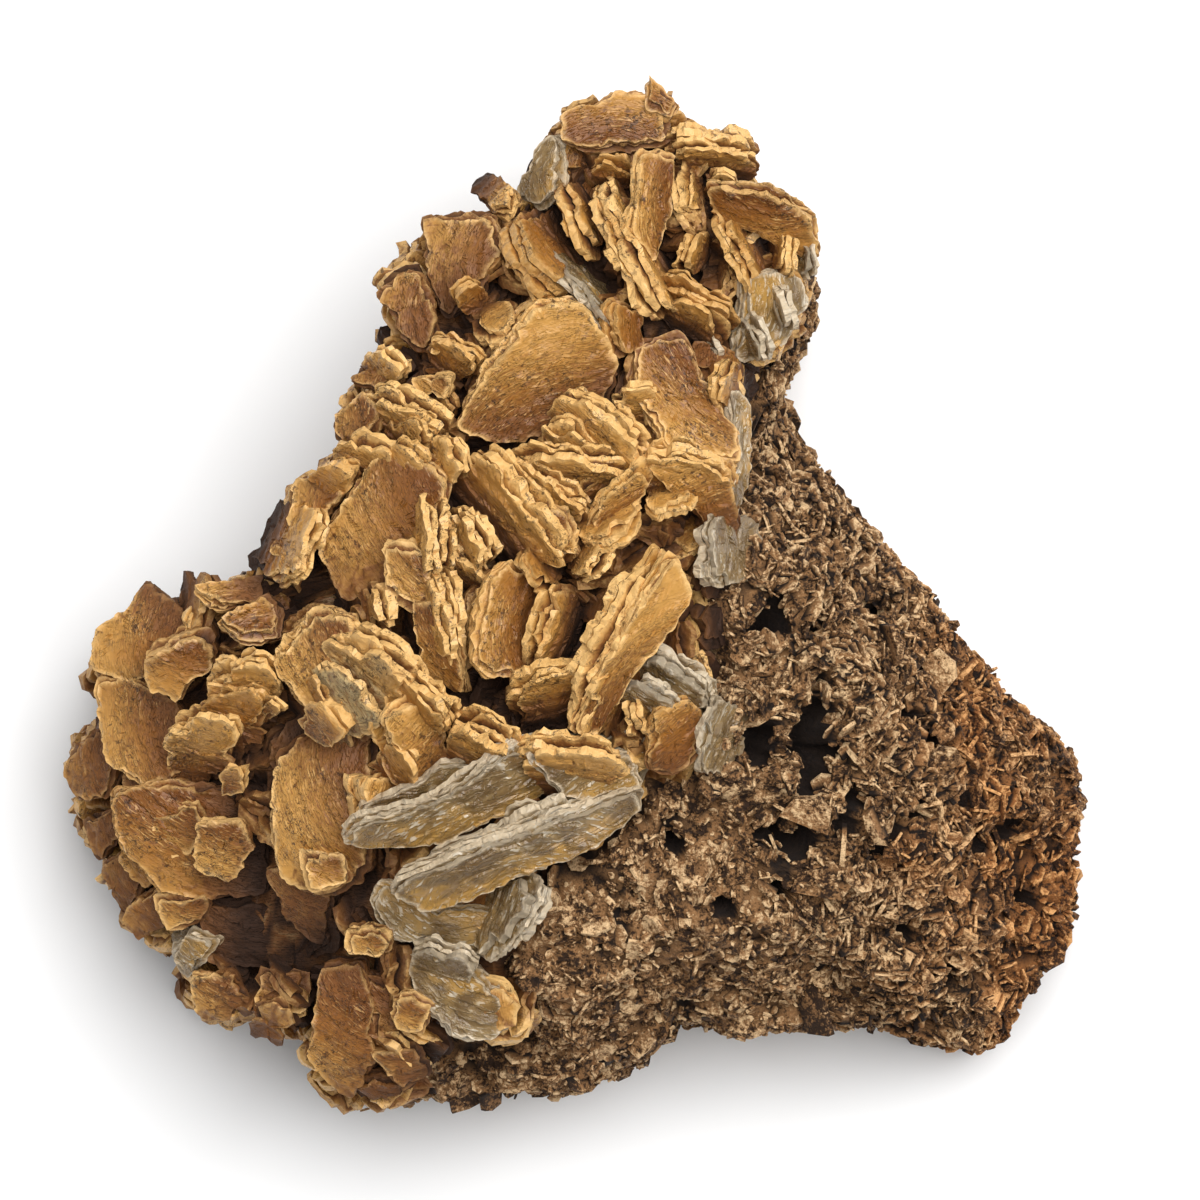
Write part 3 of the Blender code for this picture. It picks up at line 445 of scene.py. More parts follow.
# The crystals of each part of the crust: plan corners, or the two ends of a ridge, then the direction
# of descent or of the leaves, the dip, the height from the crest, the thickness and a fin's depth
UPPER_LOBE = [
    plate([(-2.7, 61), (2.5, 63), (5, 64.4), (8.2, 64), (11.5, 62.5), (12, 57.5), (8, 56), (2, 55.8),
          (-2.5, 57)], 85, 16, -2, rooted=True),
    plate([(8, 61), (8.2, 64), (8.6, 66.2), (11.5, 63.6), (13.8, 61.5), (12, 59.5)],
          60, 30, -1, rooted=True),
    fin((11, 58.3), (23, 57), 270, 60, 0, 3.2, 12),
    fin((1.5, 55.1), (9.3, 54.8), 270, 60, 0, 1.4, 12),
    fin((-2.6, 52), (2.3, 42), 30, 74, 0, 2.0),
    fin((1.8, 51.8), (10.3, 35), 25, 74, 1.5, 3.0, 16),
    plate([(7.8, 53), (8.5, 55.6), (12.6, 55.4), (12, 49), (10, 42), (6.5, 45.5)], 0, 40, 0.5, 1.8),
    fin((12.6, 55), (14.8, 47.5), 0, 78, 0, 1.3),
    fin((15.8, 53.6), (20.5, 53), 250, 60, -1, 1.6, 11),
    plate([(16, 50.3), (23.6, 51), (28.8, 47), (29.6, 42), (26.5, 43), (22, 45.5), (17.5, 46.5)],
          262, 40, -1, 1.6),
    fin((16.7, 48.8), (22.3, 37), 10, 72, 0.5, 1.9),
    fin((26.2, 46.5), (25.9, 39.8), 180, 76, 0, 1.6),
    fin((10.3, 41.4), (21, 35.6), 240, 62, 1.5, 1.5),
    fin((11.7, 39.2), (19.8, 34.2), 240, 60, 0, 1.5),
    fin((14.4, 46.8), (12.4, 41), 0, 72, 0, 1.8),
    plate([(5.8, 37.7), (4.3, 36.5), (4.6, 33), (6, 30.5), (8.5, 31), (8.8, 36)], 0, 45, -1, 2.2),
    plate([(-20, 48.6), (-15, 49), (-10, 49), (-8.5, 44), (-12, 38), (-17, 35), (-19.3, 40),
          (-19.5, 45)], 165, 20, -3, 2.4, rooted=True),
    fin((-15.8, 37.6), (-12.3, 40.6), 320, 58, 0, 1.4, 10),
    fin((-9.6, 47), (-3, 36.6), 30, 62, 1, 3.6),
    fin((-6.7, 50.6), (-9.7, 47.4), 140, 60, -1, 1.8, 11),
    fin((-17.5, 34.3), (-10.5, 29.8), 235, 58, 0.5, 1.8),
    fin((-11.6, 31.4), (-6, 35), 120, 60, 0, 1.8),
]

WEST_MARGIN = [
    plate([(-22, 41.6), (-24.8, 40), (-25.7, 38.4), (-23.5, 36), (-22.5, 32), (-18, 30), (-16.5, 36),
          (-19.5, 42)], 170, 22, -3, rooted=True),
    fin((-24.7, 32.5), (-20.5, 28.5), 215, 60, 0, 1.8, 11),
    plate([(-18.5, 33), (-15, 33), (-14.5, 30.5), (-18.5, 30.5)], 225, 30, -1, rooted=True),
    plate([(-21, 28), (-15, 28.5), (-15.3, 25), (-20, 25)], 225, 30, -1, rooted=True),
    fin((-25.8, 28), (-14.5, 22.5), 240, 56, 0.5, 2.2),
    fin((-22, 24.8), (-16.6, 20.2), 240, 56, -0.5, 1.6),
    plate([(-31, 23.9), (-26.5, 27), (-23.5, 24), (-25, 20), (-26, 18), (-29, 18), (-31, 21)],
          195, 32, -3, rooted=True),
    plate([(-29.4, 27.6), (-27, 29.5), (-24, 30.5), (-21, 28.2), (-24, 26)], 150, 30, -3, rooted=True),
    fin((-31.9, 18.2), (-27, 15.5), 225, 55, 0, 2.2, 11),
    fin((-23.2, 21.2), (-17.2, 16.8), 230, 50, 0, 1.8, 12),
    plate([(-36.4, 14.6), (-34.7, 16.2), (-29.8, 15.9), (-28, 14), (-31, 10.5), (-36.3, 8.7)],
          175, 28, -2.5, rooted=True),
    fin((-30.8, 11.6), (-35.8, 1.4), 160, 66, 1, 1.9),
    plate([(-39.6, 7.3), (-38, 8.8), (-34.5, 7.5), (-35.5, 4), (-38.6, 5.4)],
          165, 35, -2.5, rooted=True),
]

CENTRE = [
    plate([(-4.5, 36.2), (0.5, 36.3), (3, 33), (5.2, 28), (3, 24), (-3, 20.5), (-9, 20), (-14, 21.5),
          (-10.8, 29)], 290, 17, -1.5, 2.8),
    fin((-1, 27.4), (9.5, 18), 225, 52, 1, 2.8, 12),
    fin((-2.8, 23.8), (4.8, 18.2), 225, 52, 0, 2, 12),
    plate([(8.3, 32.5), (13, 33.5), (14.6, 31), (17.5, 25), (20, 21.5), (20, 18), (12, 18.5),
          (8.5, 24), (7.2, 28)], 50, 24, -1.5, 2.6),
    fin((3.8, 26.6), (10.5, 27.4), 275, 50, 1, 1.6, 10),
    fin((18.3, 30.6), (17.4, 23.8), 0, 74, 0, 1.5),
    fin((-8.5, 19.4), (7, 17.6), 275, 62, 1.5, 2.5),
    fin((6, 18.6), (19.8, 17.3), 275, 62, 1.5, 2.5),
    plate([(8.5, 16.5), (19.8, 16.8), (20, 8), (19.5, 6.8), (16.5, 8.5), (14, 11.5)], 290, 33, -3),
    fin((-12.1, 20.6), (0.5, 6), 230, 56, 1, 3),
    fin((-15.9, 21.8), (-13.2, 15.2), 200, 60, 0, 1.8),
    plate([(-13, 18), (-8, 14), (-5, 8.5), (-8, 7), (-12.5, 11)], 225, 36, -4, grey=0.6),
    fin((-8.6, 19), (2.9, 11.6), 235, 58, 0, 1.8),
    plate([(-5.6, 12), (-1, 11.5), (0.4, 5.5), (-4, 6)], 250, 20, -0.5),
    plate([(8.5, 17), (3, 13.4), (1.5, 8.5), (3.2, 8), (7.5, 11), (9.6, 15)], 300, 36, -1),
    fin((1, 7), (9, 11.2), 110, 66, 1, 1.8),
    fin((8.6, 11), (15.4, 12.6), 100, 66, 1, 1.8),
    fin((4.2, 7.8), (1.4, 2.2), 180, 70, 1, 1.8),
    plate([(12, 4.5), (14.5, 1), (11.5, -4), (6.5, -9.5), (3.5, -15.5), (0, -16), (3, -8),
          (7.5, -1)], 305, 30, 1.2, 2.4),
    fin((9.8, 6.5), (-1.8, -14.6), 300, 60, 2, 3.6, 14),
    fin((-2.5, 2.8), (-6, -8), 10, 64, 0, 1.8),
    plate([(-8.5, 5), (-11, 2), (-12.4, -3.5), (-12.3, -7), (-10.5, -9), (-6, -8), (-4, -2),
          (-5, 3)], 350, 28, -1.5, 2.4, grey=0.3),
    fin((-7.7, 6.4), (-3.5, 1.3), 20, 70, 0, 1.5),
    fin((-16.8, 14.4), (-16.8, 2), 185, 68, 1, 3),
    fin((-17, 4.5), (-13.9, -8), 190, 68, 1, 3),
    fin((-14.3, 12.8), (-9.7, 4.6), 200, 70, 0.5, 2.6),
    fin((-9.6, -9.9), (1, -7), 280, 56, 0, 2.2),
    plate([(-24.5, 18.8), (-18.5, 17.3), (-16.5, 15.5), (-17, 12), (-20, 8), (-23, 2), (-29.5, 0),
          (-31.3, 5), (-31.6, 9), (-28, 14)], 205, 24, -2, 2.6),
    plate([(-24, 7.2), (-21, 7.6), (-17.5, 6), (-17.3, 0), (-20.5, -1), (-24, 1.5)], 225, 22, -0.5),
]

LEFT_LOBE = [
    plate([(-49, 2.5), (-45, 3.3), (-38, 4.6), (-38.5, 0), (-45, -1)], 100, 28, -3, rooted=True),
    plate([(-45.2, -2), (-42, 0.8), (-38.2, 2.6), (-36, 0), (-36, -4.5), (-42, -5)],
          95, 18, -1.5, 3, rooted=True),
    plate([(-55.1, 3.6), (-50, 0.5), (-47, -3), (-50, -8), (-56, -11), (-61.8, -8), (-60.6, -2.6),
          (-56.6, 0)], 175, 26, -2, rooted=True),
    plate([(-61.5, -8.8), (-56, -8.5), (-49.5, -12), (-47.5, -20), (-53, -24.5), (-60, -20.5)],
          195, 26, -2.2, rooted=True),
    plate([(-54.5, -7.5), (-51, -4.5), (-46, -3.8), (-45, -8), (-50, -13), (-54, -11.5)],
          245, 22, 0.5, 7),
    fin((-46.8, -8), (-36.6, -6), 275, 48, 1, 2.4, 12),
    fin((-47.2, -10.6), (-38.3, -9.9), 275, 48, 1, 2.2, 12),
    fin((-52.2, -14.4), (-42, -12.6), 265, 45, 1, 2.8, 12),
    plate([(-58, -24), (-50, -22.3), (-43, -24), (-39, -30), (-39, -36), (-46, -37), (-52, -36.5),
          (-57, -31)], 245, 18, -2.5, 2.6),
    plate([(-53, -26), (-47.5, -25), (-46, -29), (-49.5, -32.5), (-54, -31)], 235, 30, -1, 1.8),
    plate([(-47.5, -27.5), (-42, -27), (-40, -31), (-43.5, -35), (-48, -33)], 250, 30, -1.2, 1.8),
    plate([(-57, -28.5), (-53, -28), (-51.5, -33), (-54.5, -36.5), (-58, -32)], 225, 34, -1.8, 1.8),
    plate([(-64.6, -18), (-60, -14.6), (-57.5, -19), (-59, -25), (-64, -25.5), (-65.6, -22)],
          190, 42, -3, rooted=True),
    plate([(-63.6, -27), (-57.5, -25), (-57, -29), (-61, -33.5), (-62.6, -30)],
          200, 42, -3.5, rooted=True),
    plate([(-61, -32.5), (-56, -30), (-54, -35), (-57, -40.5), (-60.2, -36)], 210, 42, -4, rooted=True),
    plate([(-57, -37.5), (-52, -35), (-51, -41), (-55.5, -43), (-58, -40)], 225, 42, -3, rooted=True),
    plate([(-53.5, -37), (-46, -36.5), (-46.5, -40), (-51.5, -41.5)], 250, 30, -2),
    plate([(-47.5, -38), (-38, -37.5), (-37.5, -46), (-44, -46), (-48, -42.5)], 250, 24, -6.5),
    plate([(-49, -46.5), (-49, -51), (-47.3, -53), (-43.5, -53), (-40.5, -50), (-43, -46)],
          245, 34, -3, rooted=True),
]

LOWER_LEFT = [
    plate([(-38, -8), (-36, -4.5), (-32.5, -1), (-28.3, -2), (-26.6, -8), (-27.5, -13.5),
          (-33, -14)], 215, 26, -1, 2.4),
    plate([(-37.8, -19.5), (-34, -16.5), (-29.5, -13.5), (-26.5, -16), (-25.5, -25), (-27, -33),
          (-32, -36), (-37.5, -34), (-38.3, -27)], 200, 22, -1.5, 2.8),
    plate([(-39.3, -33.5), (-34, -32.5), (-30, -36), (-32, -43), (-36.5, -39.5)], 235, 34, -4.5),
    plate([(-35, -31), (-28.5, -30.5), (-28, -35), (-33.5, -36)], 240, 14, 0, 2.2),
    fin((-32.7, -7.4), (-28.3, -13.6), 220, 66, 0.5, 1.7),
    fin((-30.2, -5.4), (-22, -13.8), 225, 54, 1, 3.2, grey=0.6),
    fin((-29, -1.8), (-17.8, -10.2), 225, 54, 1, 3.4, grey=0.4),
    plate([(-20.5, 0), (-17, 0), (-14.5, -6), (-14, -11.5), (-19.5, -9)], 215, 40, -1),
    fin((-21.5, -7), (-14, -13.6), 235, 60, 1.5, 2.8),
    fin((-15, -13), (-6.5, -17.4), 245, 60, 1.5, 2.8),
    fin((-8, -16.7), (7.2, -18.2), 262, 60, 1.5, 2.8),
    fin((6.2, -10.6), (7.5, -17.2), 0, 72, 0, 1.8),
    plate([(9.5, -13), (14, -12), (16, -14), (15.2, -18.5), (12.3, -21.3), (9, -20.5)], 310, 30, -2),
    plate([(-24, -14), (-21.5, -20), (-19.5, -23), (-16, -24.5), (-14.5, -20), (-16.5, -14.5),
          (-20, -12)], 320, 30, -1.5),
    plate([(-27, -21.5), (-21.5, -20.5), (-20.5, -26), (-25, -28.5)], 345, 36, -2, 4.4),
    plate([(-24, -49.5), (-20.5, -48), (-17.5, -50), (-19, -54.2), (-23, -53.5)],
          245, 28, -1, rooted=True),
    plate([(-29, -41), (-26, -40), (-23, -41), (-23.5, -44), (-28.5, -43.8)], 245, 26, -0.5),
    plate([(-32.5, -45.3), (-27, -44.7), (-25, -50), (-24.7, -58), (-29, -63.5), (-33, -59.3),
          (-34.4, -56.5), (-33.4, -50)], 235, 30, -2, 2.6, rooted=True),
    plate([(-27, -46), (-20, -47), (-19, -55), (-25.5, -56)], 250, 20, -4, rooted=True),
    plate([(-27, -56), (-20, -54.5), (-17.5, -59), (-22, -62)], 270, 34, -4, rooted=True),
    plate([(-29.5, -61), (-25, -58.5), (-20.5, -60.5), (-22, -62.3), (-26.5, -63.2)],
          250, 42, -4.5, rooted=True),
]

CLEAR = [
    plate([(-8, 51), (-6, 55.5), (-4.7, 57.7), (-2.8, 58.7), (-1.8, 52), (-5, 49)], 160, 35, -4),
    fin((28.8, 47), (29.4, 40), 185, 66, -1.5, 1.4, 10),
    plate([(21, 41), (28, 41.5), (29.5, 38), (28, 33.8), (24, 29.5), (20, 29), (20.5, 35)],
          345, 33, -3, 3, rooted=True),
    fin((24.5, 40), (27.5, 33), 190, 70, 0, 1.7, 10),
    fin((21.6, 36.5), (24, 30), 190, 70, 0.5, 1.7, 10),
    fin((-4, 43.5), (4.5, 32.5), 30, 76, 1, 1.5),
    plate([(20, 27), (22.2, 25), (21.9, 20), (21.6, 14), (20.6, 10), (19.6, 12), (19.9, 20)],
          0, 52, -3, 1.8),
    fin((15.4, 11.5), (16, 1.5), 0, 60, -1, 2, 13),
    plate([(-52, -44), (-49.5, -48), (-45, -43), (-49, -41)], 230, 42, -3),
    fin((16.4, -10.8), (13.6, -20.6), 330, 62, -1, 1.6, 11),
    fin((5.8, -8.6), (14.2, -12.3), 290, 60, 0, 1.8, 12),
    fin((8.8, -4.8), (18, -11.8), 300, 56, -0.5, 2.4, 12),
    plate([(-25, -29.5), (-15, -23), (-8, -18.7), (0, -19.5), (1, -23), (-8, -26), (-15, -29.5),
          (-26, -33)], 295, 42, 0, 2.6),
    plate([(-20, -35), (-10, -29.5), (-1, -26.5), (7.3, -24.6), (7.5, -27), (2, -30.6), (-8, -34.5),
          (-17, -38.3), (-21, -37)], 290, 42, 0, 2.8),
    fin((-10, -27.5), (1, -22.7), 290, 60, 0, 2, 12),
    plate([(-6, -18.5), (7, -18.5), (8, -22), (7.3, -25), (-2, -24)], 300, 26, -2.5),
    plate([(-24, -34.7), (-17, -37.5), (-10, -38), (-10.5, -44), (-20, -42), (-22.8, -42),
          (-25.3, -37.5)], 250, 20, -3.5),
    fin((-20.5, -41.6), (-11.8, -43.8), 265, 60, 0, 1.8, 12),
    plate([(-21.6, -43.2), (-15, -43), (-10.5, -46.5), (-7.5, -51), (-9.5, -55), (-15.5, -54.6),
          (-20.3, -50), (-22, -46)], 245, 20, -3, rooted=True),
    fin((-3.5, -34), (-10.3, -45), 200, 62, 0.5, 2.6, 12),
]

LISTED = UPPER_LOBE + WEST_MARGIN + CENTRE + LEFT_LOBE + LOWER_LEFT + CLEAR
PLATES = [crystal for crystal in LISTED if crystal["face"]]


def add_crystals(pile, crystals, seed):
    """Put listed crystals into a pile in list order, each with smaller neighbours drawn from a seeded
    random generator.
    """
    random = np.random.default_rng(seed)
    for crystal in crystals:
        add_blade(pile, crystal, random, spacing=0.54, layers=4 if crystal["thick"] > 2.3 else 3)
    for crystal in crystals:
        lying = crystal["face"] and crystal["normal"][2] > 0.85
        for small in neighbours(crystal, random, 4 if lying else 2, PLATES):
            add_blade(pile, small, random, spacing=0.85, layers=2, most_rings=7)


class Link:
    """An output in a material's node tree. Arithmetic on it adds Math nodes, and `add` any other."""

    def __init__(self, tree, socket=None):
        self.tree, self.socket = tree, socket

    def add(self, kind, settings, sockets, output=0):
        """A new node of a type: its settings first, then the values or links of its sockets."""
        made = self.tree.nodes.new("ShaderNode" + kind)
        for key, value in settings.items():
            setattr(made, key, value)
        for key, value in sockets.items():
            named = [s for s in made.inputs if s.identifier == key or s.name == key]
            target = made.inputs[key] if isinstance(key, int) else named[0]
            if isinstance(value, Link):
                self.tree.links.new(value.socket, target)
            else:
                target.default_value = value
        named = [s for s in made.outputs if s.identifier == output]
        return Link(self.tree, named[0] if named else made.outputs[output])

    def math(self, operation, first, second):
        return self.add("Math", {"operation": operation}, {0: first, 1: second})

    def __add__(self, other):
        return self.math("ADD", self, other)

    def __sub__(self, other):
        return self.math("SUBTRACT", self, other)

    def __mul__(self, other):
        return self.math("MULTIPLY", self, other)

    def __rsub__(self, other):
        return self.math("SUBTRACT", other, self)

    __radd__ = __add__
    __rmul__ = __mul__

    def away(self, level):
        """How far the value is from a level."""
        return self.math("ABSOLUTE", self - level, 0)

    def clamp(self, low, high, start=0.0, end=1.0):
        """The value's place between low and high, eased, as start to end."""
        settings = {"interpolation_type": "SMOOTHSTEP"}
        levels = {"From Min": low, "From Max": high, "To Min": start, "To Max": end}
        return self.add("MapRange", settings, {"Value": self, **levels})

    def stretch(self, x, y, z):
        """A vector multiplied along each axis."""
        return self.add("VectorMath", {"operation": "MULTIPLY"}, {0: self, 1: (x, y, z)})

    def grain(self, scale, detail=3.0, rough=0.55, warp=0.0):
        """Noise of so many waves a unit, on this link's coordinates."""
        sockets = {"Scale": scale, "Detail": detail, "Roughness": rough, "Distortion": warp}
        return self.add("TexNoise", {}, {"Vector": self, **sockets})

    def tint(self, first, second, share, blend="MIX"):
        """Two colours mixed by a share."""
        first, second = (c if isinstance(c, Link) else (*c, 1) for c in (first, second))
        sockets = {"Factor_Float": share, "A_Color": first, "B_Color": second}
        return self.add("Mix", {"data_type": "RGBA", "blend_type": blend}, sockets, "Result_Color")

    def into(self, shader, socket):
        """Feed a socket of the material's shader."""
        self.tree.links.new(self.socket, shader.inputs[socket])


def new_material(name):
    """A material with a bare Principled surface: its shader, and a link for adding nodes."""
    made = bpy.data.materials.new(name)
    made.use_nodes = True
    return made, made.node_tree.nodes["Principled BSDF"], Link(made.node_tree)


def growth_of(base):
    """The growth attribute's channels, and the lines attribute, as links."""
    growth = base.add("Attribute", {"attribute_name": "growth"}, {}, "Color")
    root = base.add("Attribute", {"attribute_name": "growth"}, {}, "Alpha")
    lines = base.add("Attribute", {"attribute_name": "lines"}, {}, "Vector")
    channels = [base.add("SeparateColor", {}, {"Color": growth}, c) for c in ("Red", "Green", "Blue")]
    return *channels, root, lines


# Colours of the honey crystals, linear
HONEY = (0.29, 0.110, 0.015)
PALE_HONEY = (0.52, 0.265, 0.062)
AMBER = (0.135, 0.038, 0.004)
CREAM = (0.74, 0.46, 0.175)
GREY_HONEY = (0.34, 0.26, 0.13)
# Rust brown: real stains, and also painted shade and painted shadow lines
RUST_AND_SHADE = (0.16, 0.056, 0.011)
# Near black: real specks and cracks, and also painted shade deep in the gaps
SPECK_AND_SHADE = (0.024, 0.008, 0.002)


def honey_barite():
    """Honey barite: faces pale at the free edge and amber towards the root, ruled with short growth
    lines drawn with painted highlights and painted shadow lines; cream leaf ends; brown specks,
    cracks and stains; painted shade, dark brown to near black, in the gaps and deep in the crust."""
    made, shader, base = new_material("barite_honey")
    place = base.add("TexCoord", {}, {}, "Object")
    edge, depth, shade, root, lines = growth_of(base)
    grey = base.add("SeparateXYZ", {}, {"Vector": lines}, "Z")
    cloud = place.grain(150, 3, 0.6, 0.4)
    fleck = place.grain(1300, 3, 0.65)
    vein = place.grain(430, 4, 0.62, 1.4)
    streak = lines.stretch(0.7, 4.2, 0).grain(1.0, 2, 0.5, 0.5)
    ledge = streak.clamp(0.5, 0.56)
    face = 1 - edge.clamp(0.25, 0.8)
    ruled = (cloud * 1.1 + root * 0.75).clamp(0.5, 0.9) * face
    pale = (cloud * 0.8 + shade * 0.6 - root * 0.9).clamp(-0.05, 0.7)
    colour = base.tint(HONEY, PALE_HONEY, pale)
    colour = base.tint(colour, AMBER, (root * 0.95 + cloud * 0.5).clamp(0.5, 1.15, 0, 0.92))
    colour = base.tint(colour, GREY_HONEY, (grey + cloud * 0.7).clamp(0.62, 1.1, 0, 0.92))
    patchy = cloud.clamp(0.36, 0.6)
    # Painted shadow: dark lines along the growth steps
    colour = base.tint(colour, RUST_AND_SHADE, streak.clamp(0.36, 0.46, 1, 0) * ruled * 0.8)
    # Painted highlight: pale dashes on the growth steps
    colour = base.tint(colour, CREAM, streak.clamp(0.57, 0.68) * ruled * patchy * 0.5)
    colour = base.tint(colour, CREAM, (edge * (0.2 + fleck * 0.85 + shade * 0.4)).clamp(0.25, 1.0, 0, 0.9))
    colour = base.tint(colour, RUST_AND_SHADE, (vein * 0.85 + fleck * 0.3 + depth * 0.35).clamp(0.62, 0.84, 0, 0.9))
    specks = fleck.clamp(0.58, 0.63) * cloud.clamp(0.38, 0.56)
    cracks = vein.away(0.5).clamp(0.0, 0.02, 1, 0) * cloud.clamp(0.46, 0.6)
    colour = base.tint(colour, SPECK_AND_SHADE, specks * 0.7)
    colour = base.tint(colour, SPECK_AND_SHADE, cracks * 0.85)
    # Painted shade: brown, then near black, deeper in the crust and in the grooves between leaves
    colour = base.tint(colour, RUST_AND_SHADE, depth.clamp(0.10, 0.55, 0, 0.8))
    colour = base.tint(colour, SPECK_AND_SHADE, depth.clamp(0.38, 0.95, 0, 0.95))
    colour.into(shader, "Base Color")
    (0.28 + fleck * 0.32 + depth * 0.4).into(shader, "Roughness")
    knobs = place.grain(900, 2, 0.5)
    relief = ledge * ruled * 1.1 + fleck * 0.25 + knobs * (0.35 + edge * 0.9) + vein * 0.3
    bump = base.add("Bump", {}, {"Height": relief, "Distance": 0.00038, "Strength": 0.85})
    bump.into(shader, "Normal")
    shader.inputs["IOR"].default_value = 1.6
    shader.inputs["Specular IOR Level"].default_value = 0.3
    return made


# Colours of the clear crystals, linear
SMOKY = (0.22, 0.13, 0.05)
CLOUDY = (0.47, 0.32, 0.14)
HONEY_STAIN = (0.66, 0.36, 0.075)
FROST = (0.95, 0.85, 0.68)
FROSTED_EDGE = (0.90, 0.73, 0.50)
# Painted shade for the clear crystals deep in the crust
CLEAR_RECESS_SHADE = (0.30, 0.20, 0.10)


def clear_barite():
    """Clear barite: warm grey, cloudy and see-through, honey-stained in places, with frosted rims."""
    made, shader, base = new_material("barite_clear")
    place = base.add("TexCoord", {}, {}, "Object")
    edge, depth, _, root, lines = growth_of(base)
    cloud = place.grain(190, 3, 0.6, 0.6)
    fleck = place.grain(1500, 3, 0.65)
    streak = lines.stretch(0.6, 2.2, 0).grain(1.0, 2, 0.5, 0.3)
    colour = base.tint(SMOKY, CLOUDY, (cloud * 0.8 + streak * 0.4).clamp(0.45, 0.75))
    colour = base.tint(colour, HONEY_STAIN, (cloud * 0.7 + root * 0.5).clamp(0.5, 0.8, 0, 0.85))
    frost = streak.clamp(0.54, 0.62) * cloud.clamp(0.42, 0.55) * 0.6
    frost = frost + (root + fleck * 0.4).clamp(0.22, 0.36, 1, 0) * 0.8
    colour = base.tint(colour, FROST, frost.clamp(0, 1))
    colour = base.tint(colour, FROSTED_EDGE, (edge * (0.5 + fleck)).clamp(0.5, 1.1))
    # Painted shade: smoky brown deeper in the crust
    colour = base.tint(colour, CLEAR_RECESS_SHADE, depth.clamp(0.35, 0.9, 0, 0.8))
    colour.into(shader, "Base Color")
    (0.08 + fleck * 0.24 + edge * 0.22).into(shader, "Roughness")
    relief = fleck * 0.5 + streak.clamp(0.5, 0.58) * 0.5 + place.grain(900, 2, 0.5) * (0.4 + edge)
    bump = base.add("Bump", {}, {"Height": relief, "Distance": 0.00035, "Strength": 0.8})
    bump.into(shader, "Normal")
    shader.inputs["Transmission Weight"].default_value = 0.42
    shader.inputs["IOR"].default_value = 1.5
    return made


HONEY_FINISH = honey_barite()
CLEAR_FINISH = clear_barite()


def crust_piece(name, pile, finish):
    """A mesh piece that stands for part of the crust."""
    made = pile.make(name, finish)
    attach(made, "root")
    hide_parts("barite_crust")


for name, crystals, finish, seed in (
    ("barite_upper_lobe", UPPER_LOBE, HONEY_FINISH, 61),
    ("barite_west_margin", WEST_MARGIN, HONEY_FINISH, 62),
    ("barite_centre", CENTRE, HONEY_FINISH, 63),
    ("barite_left_lobe", LEFT_LOBE, HONEY_FINISH, 64),
    ("barite_lower_left", LOWER_LEFT, HONEY_FINISH, 65),
    ("barite_clear", CLEAR, CLEAR_FINISH, 66),
):
    pile = Pile()
    add_crystals(pile, crystals, seed)
    crust_piece(name, pile, finish)


# The crust's bed and its smaller blades. Between the big crystals the bed is full of small ones, and
# round the rim, down to where the crust ends on the rock, blades stick out of it on all sides.

BED_DROP = 8.5
BED_SLOPE = 3.0
BED_INSET = 5.0
BED_BOTTOM = 9.0
BED_CENTRE = np.array([-8.0, 5.0])
BED_POINTS = 200
BED_RINGS = 34
BED_SIDE_RINGS = 11
CRUST_THICKNESS = 17.0
CRUST_SPAN = ((-64, -64), (30, 64))
FILLING_BLADES = 170
FILLING_MARGIN = 2.2

# What rumples the bed: heights and sizes of noise, and its seeds along each axis
BED_RUMPLE = [(3.0, 3.4, (3, 4, 5)), (2.0, 1.5, (6, 7, 8))]


def ray_lengths(centre, outline, angles):
    """How far the outline is from the centre in each direction, at its furthest crossing."""
    angles = np.asarray(angles) + 1e-7
    start = np.array(outline, float) - centre
    edge = np.roll(start, -1, axis=0) - start
    ray = np.stack([np.cos(angles), np.sin(angles)], axis=-1)[..., None, :]
    cross = ray[..., 0] * edge[:, 1] - ray[..., 1] * edge[:, 0]
    along = (start[:, 0] * edge[:, 1] - start[:, 1] * edge[:, 0]) / cross
    share = (start[:, 0] * ray[..., 1] - start[:, 1] * ray[..., 0]) / cross
    return np.where((share >= 0) & (share < 1) & (along > 0), along, 0).max(-1)


def crust_bed():
    """The bed: rings about an upright line, at a set depth below the crest and then down its side,
    rumpled by noise of two sizes."""
    angles = np.arange(BED_POINTS) * 2 * np.pi / BED_POINTS
    reach = ray_lengths(BED_CENTRE, CRUST_OUTLINE, angles) - BED_INSET
    ray = np.column_stack([np.cos(angles), np.sin(angles)])
    rings = []
    for share in np.linspace(0.03, 1, BED_RINGS):
        plan = BED_CENTRE + ray * (reach * share)[:, None]
        drop = BED_DROP + BED_SLOPE * smoothstep((share - 0.8) / 0.2)
        rings.append(np.column_stack([plan, crest(plan[:, 0], plan[:, 1]) - drop]))
    plan = BED_CENTRE + ray * reach[:, None]
    top = crest(plan[:, 0], plan[:, 1]) - BED_DROP
    under = np.maximum(top - CRUST_THICKNESS, BED_BOTTOM)
    top = top - BED_SLOPE
    for share in np.linspace(0.1, 1, BED_SIDE_RINGS):
        rings.append(np.column_stack([plan, top + share * (under + 1 - top)]))
    for share in (0.95, 0.85):
        rings.append(np.column_stack([BED_CENTRE + ray * (reach * share)[:, None], under]))
    middle = crest(*BED_CENTRE)
    points = np.vstack([[[*BED_CENTRE, middle - BED_DROP]], *rings, [[*BED_CENTRE, middle - 30]]])
    for height, size, seeds in BED_RUMPLE:
        points += np.column_stack([bumps(points, height, size, k) for k in seeds])
    # Painted shade on the bed between the blades: patches of dark brown to near black
    depth = 0.35 + 0.6 * smoothstep(1.6 * noise(points, 2.2, 10) - 0.1)
    growth = np.column_stack([0 * depth, depth, noise(points, 6, 9), 0 * depth + 1])
    return points, ring_faces(BED_POINTS, len(rings)), growth


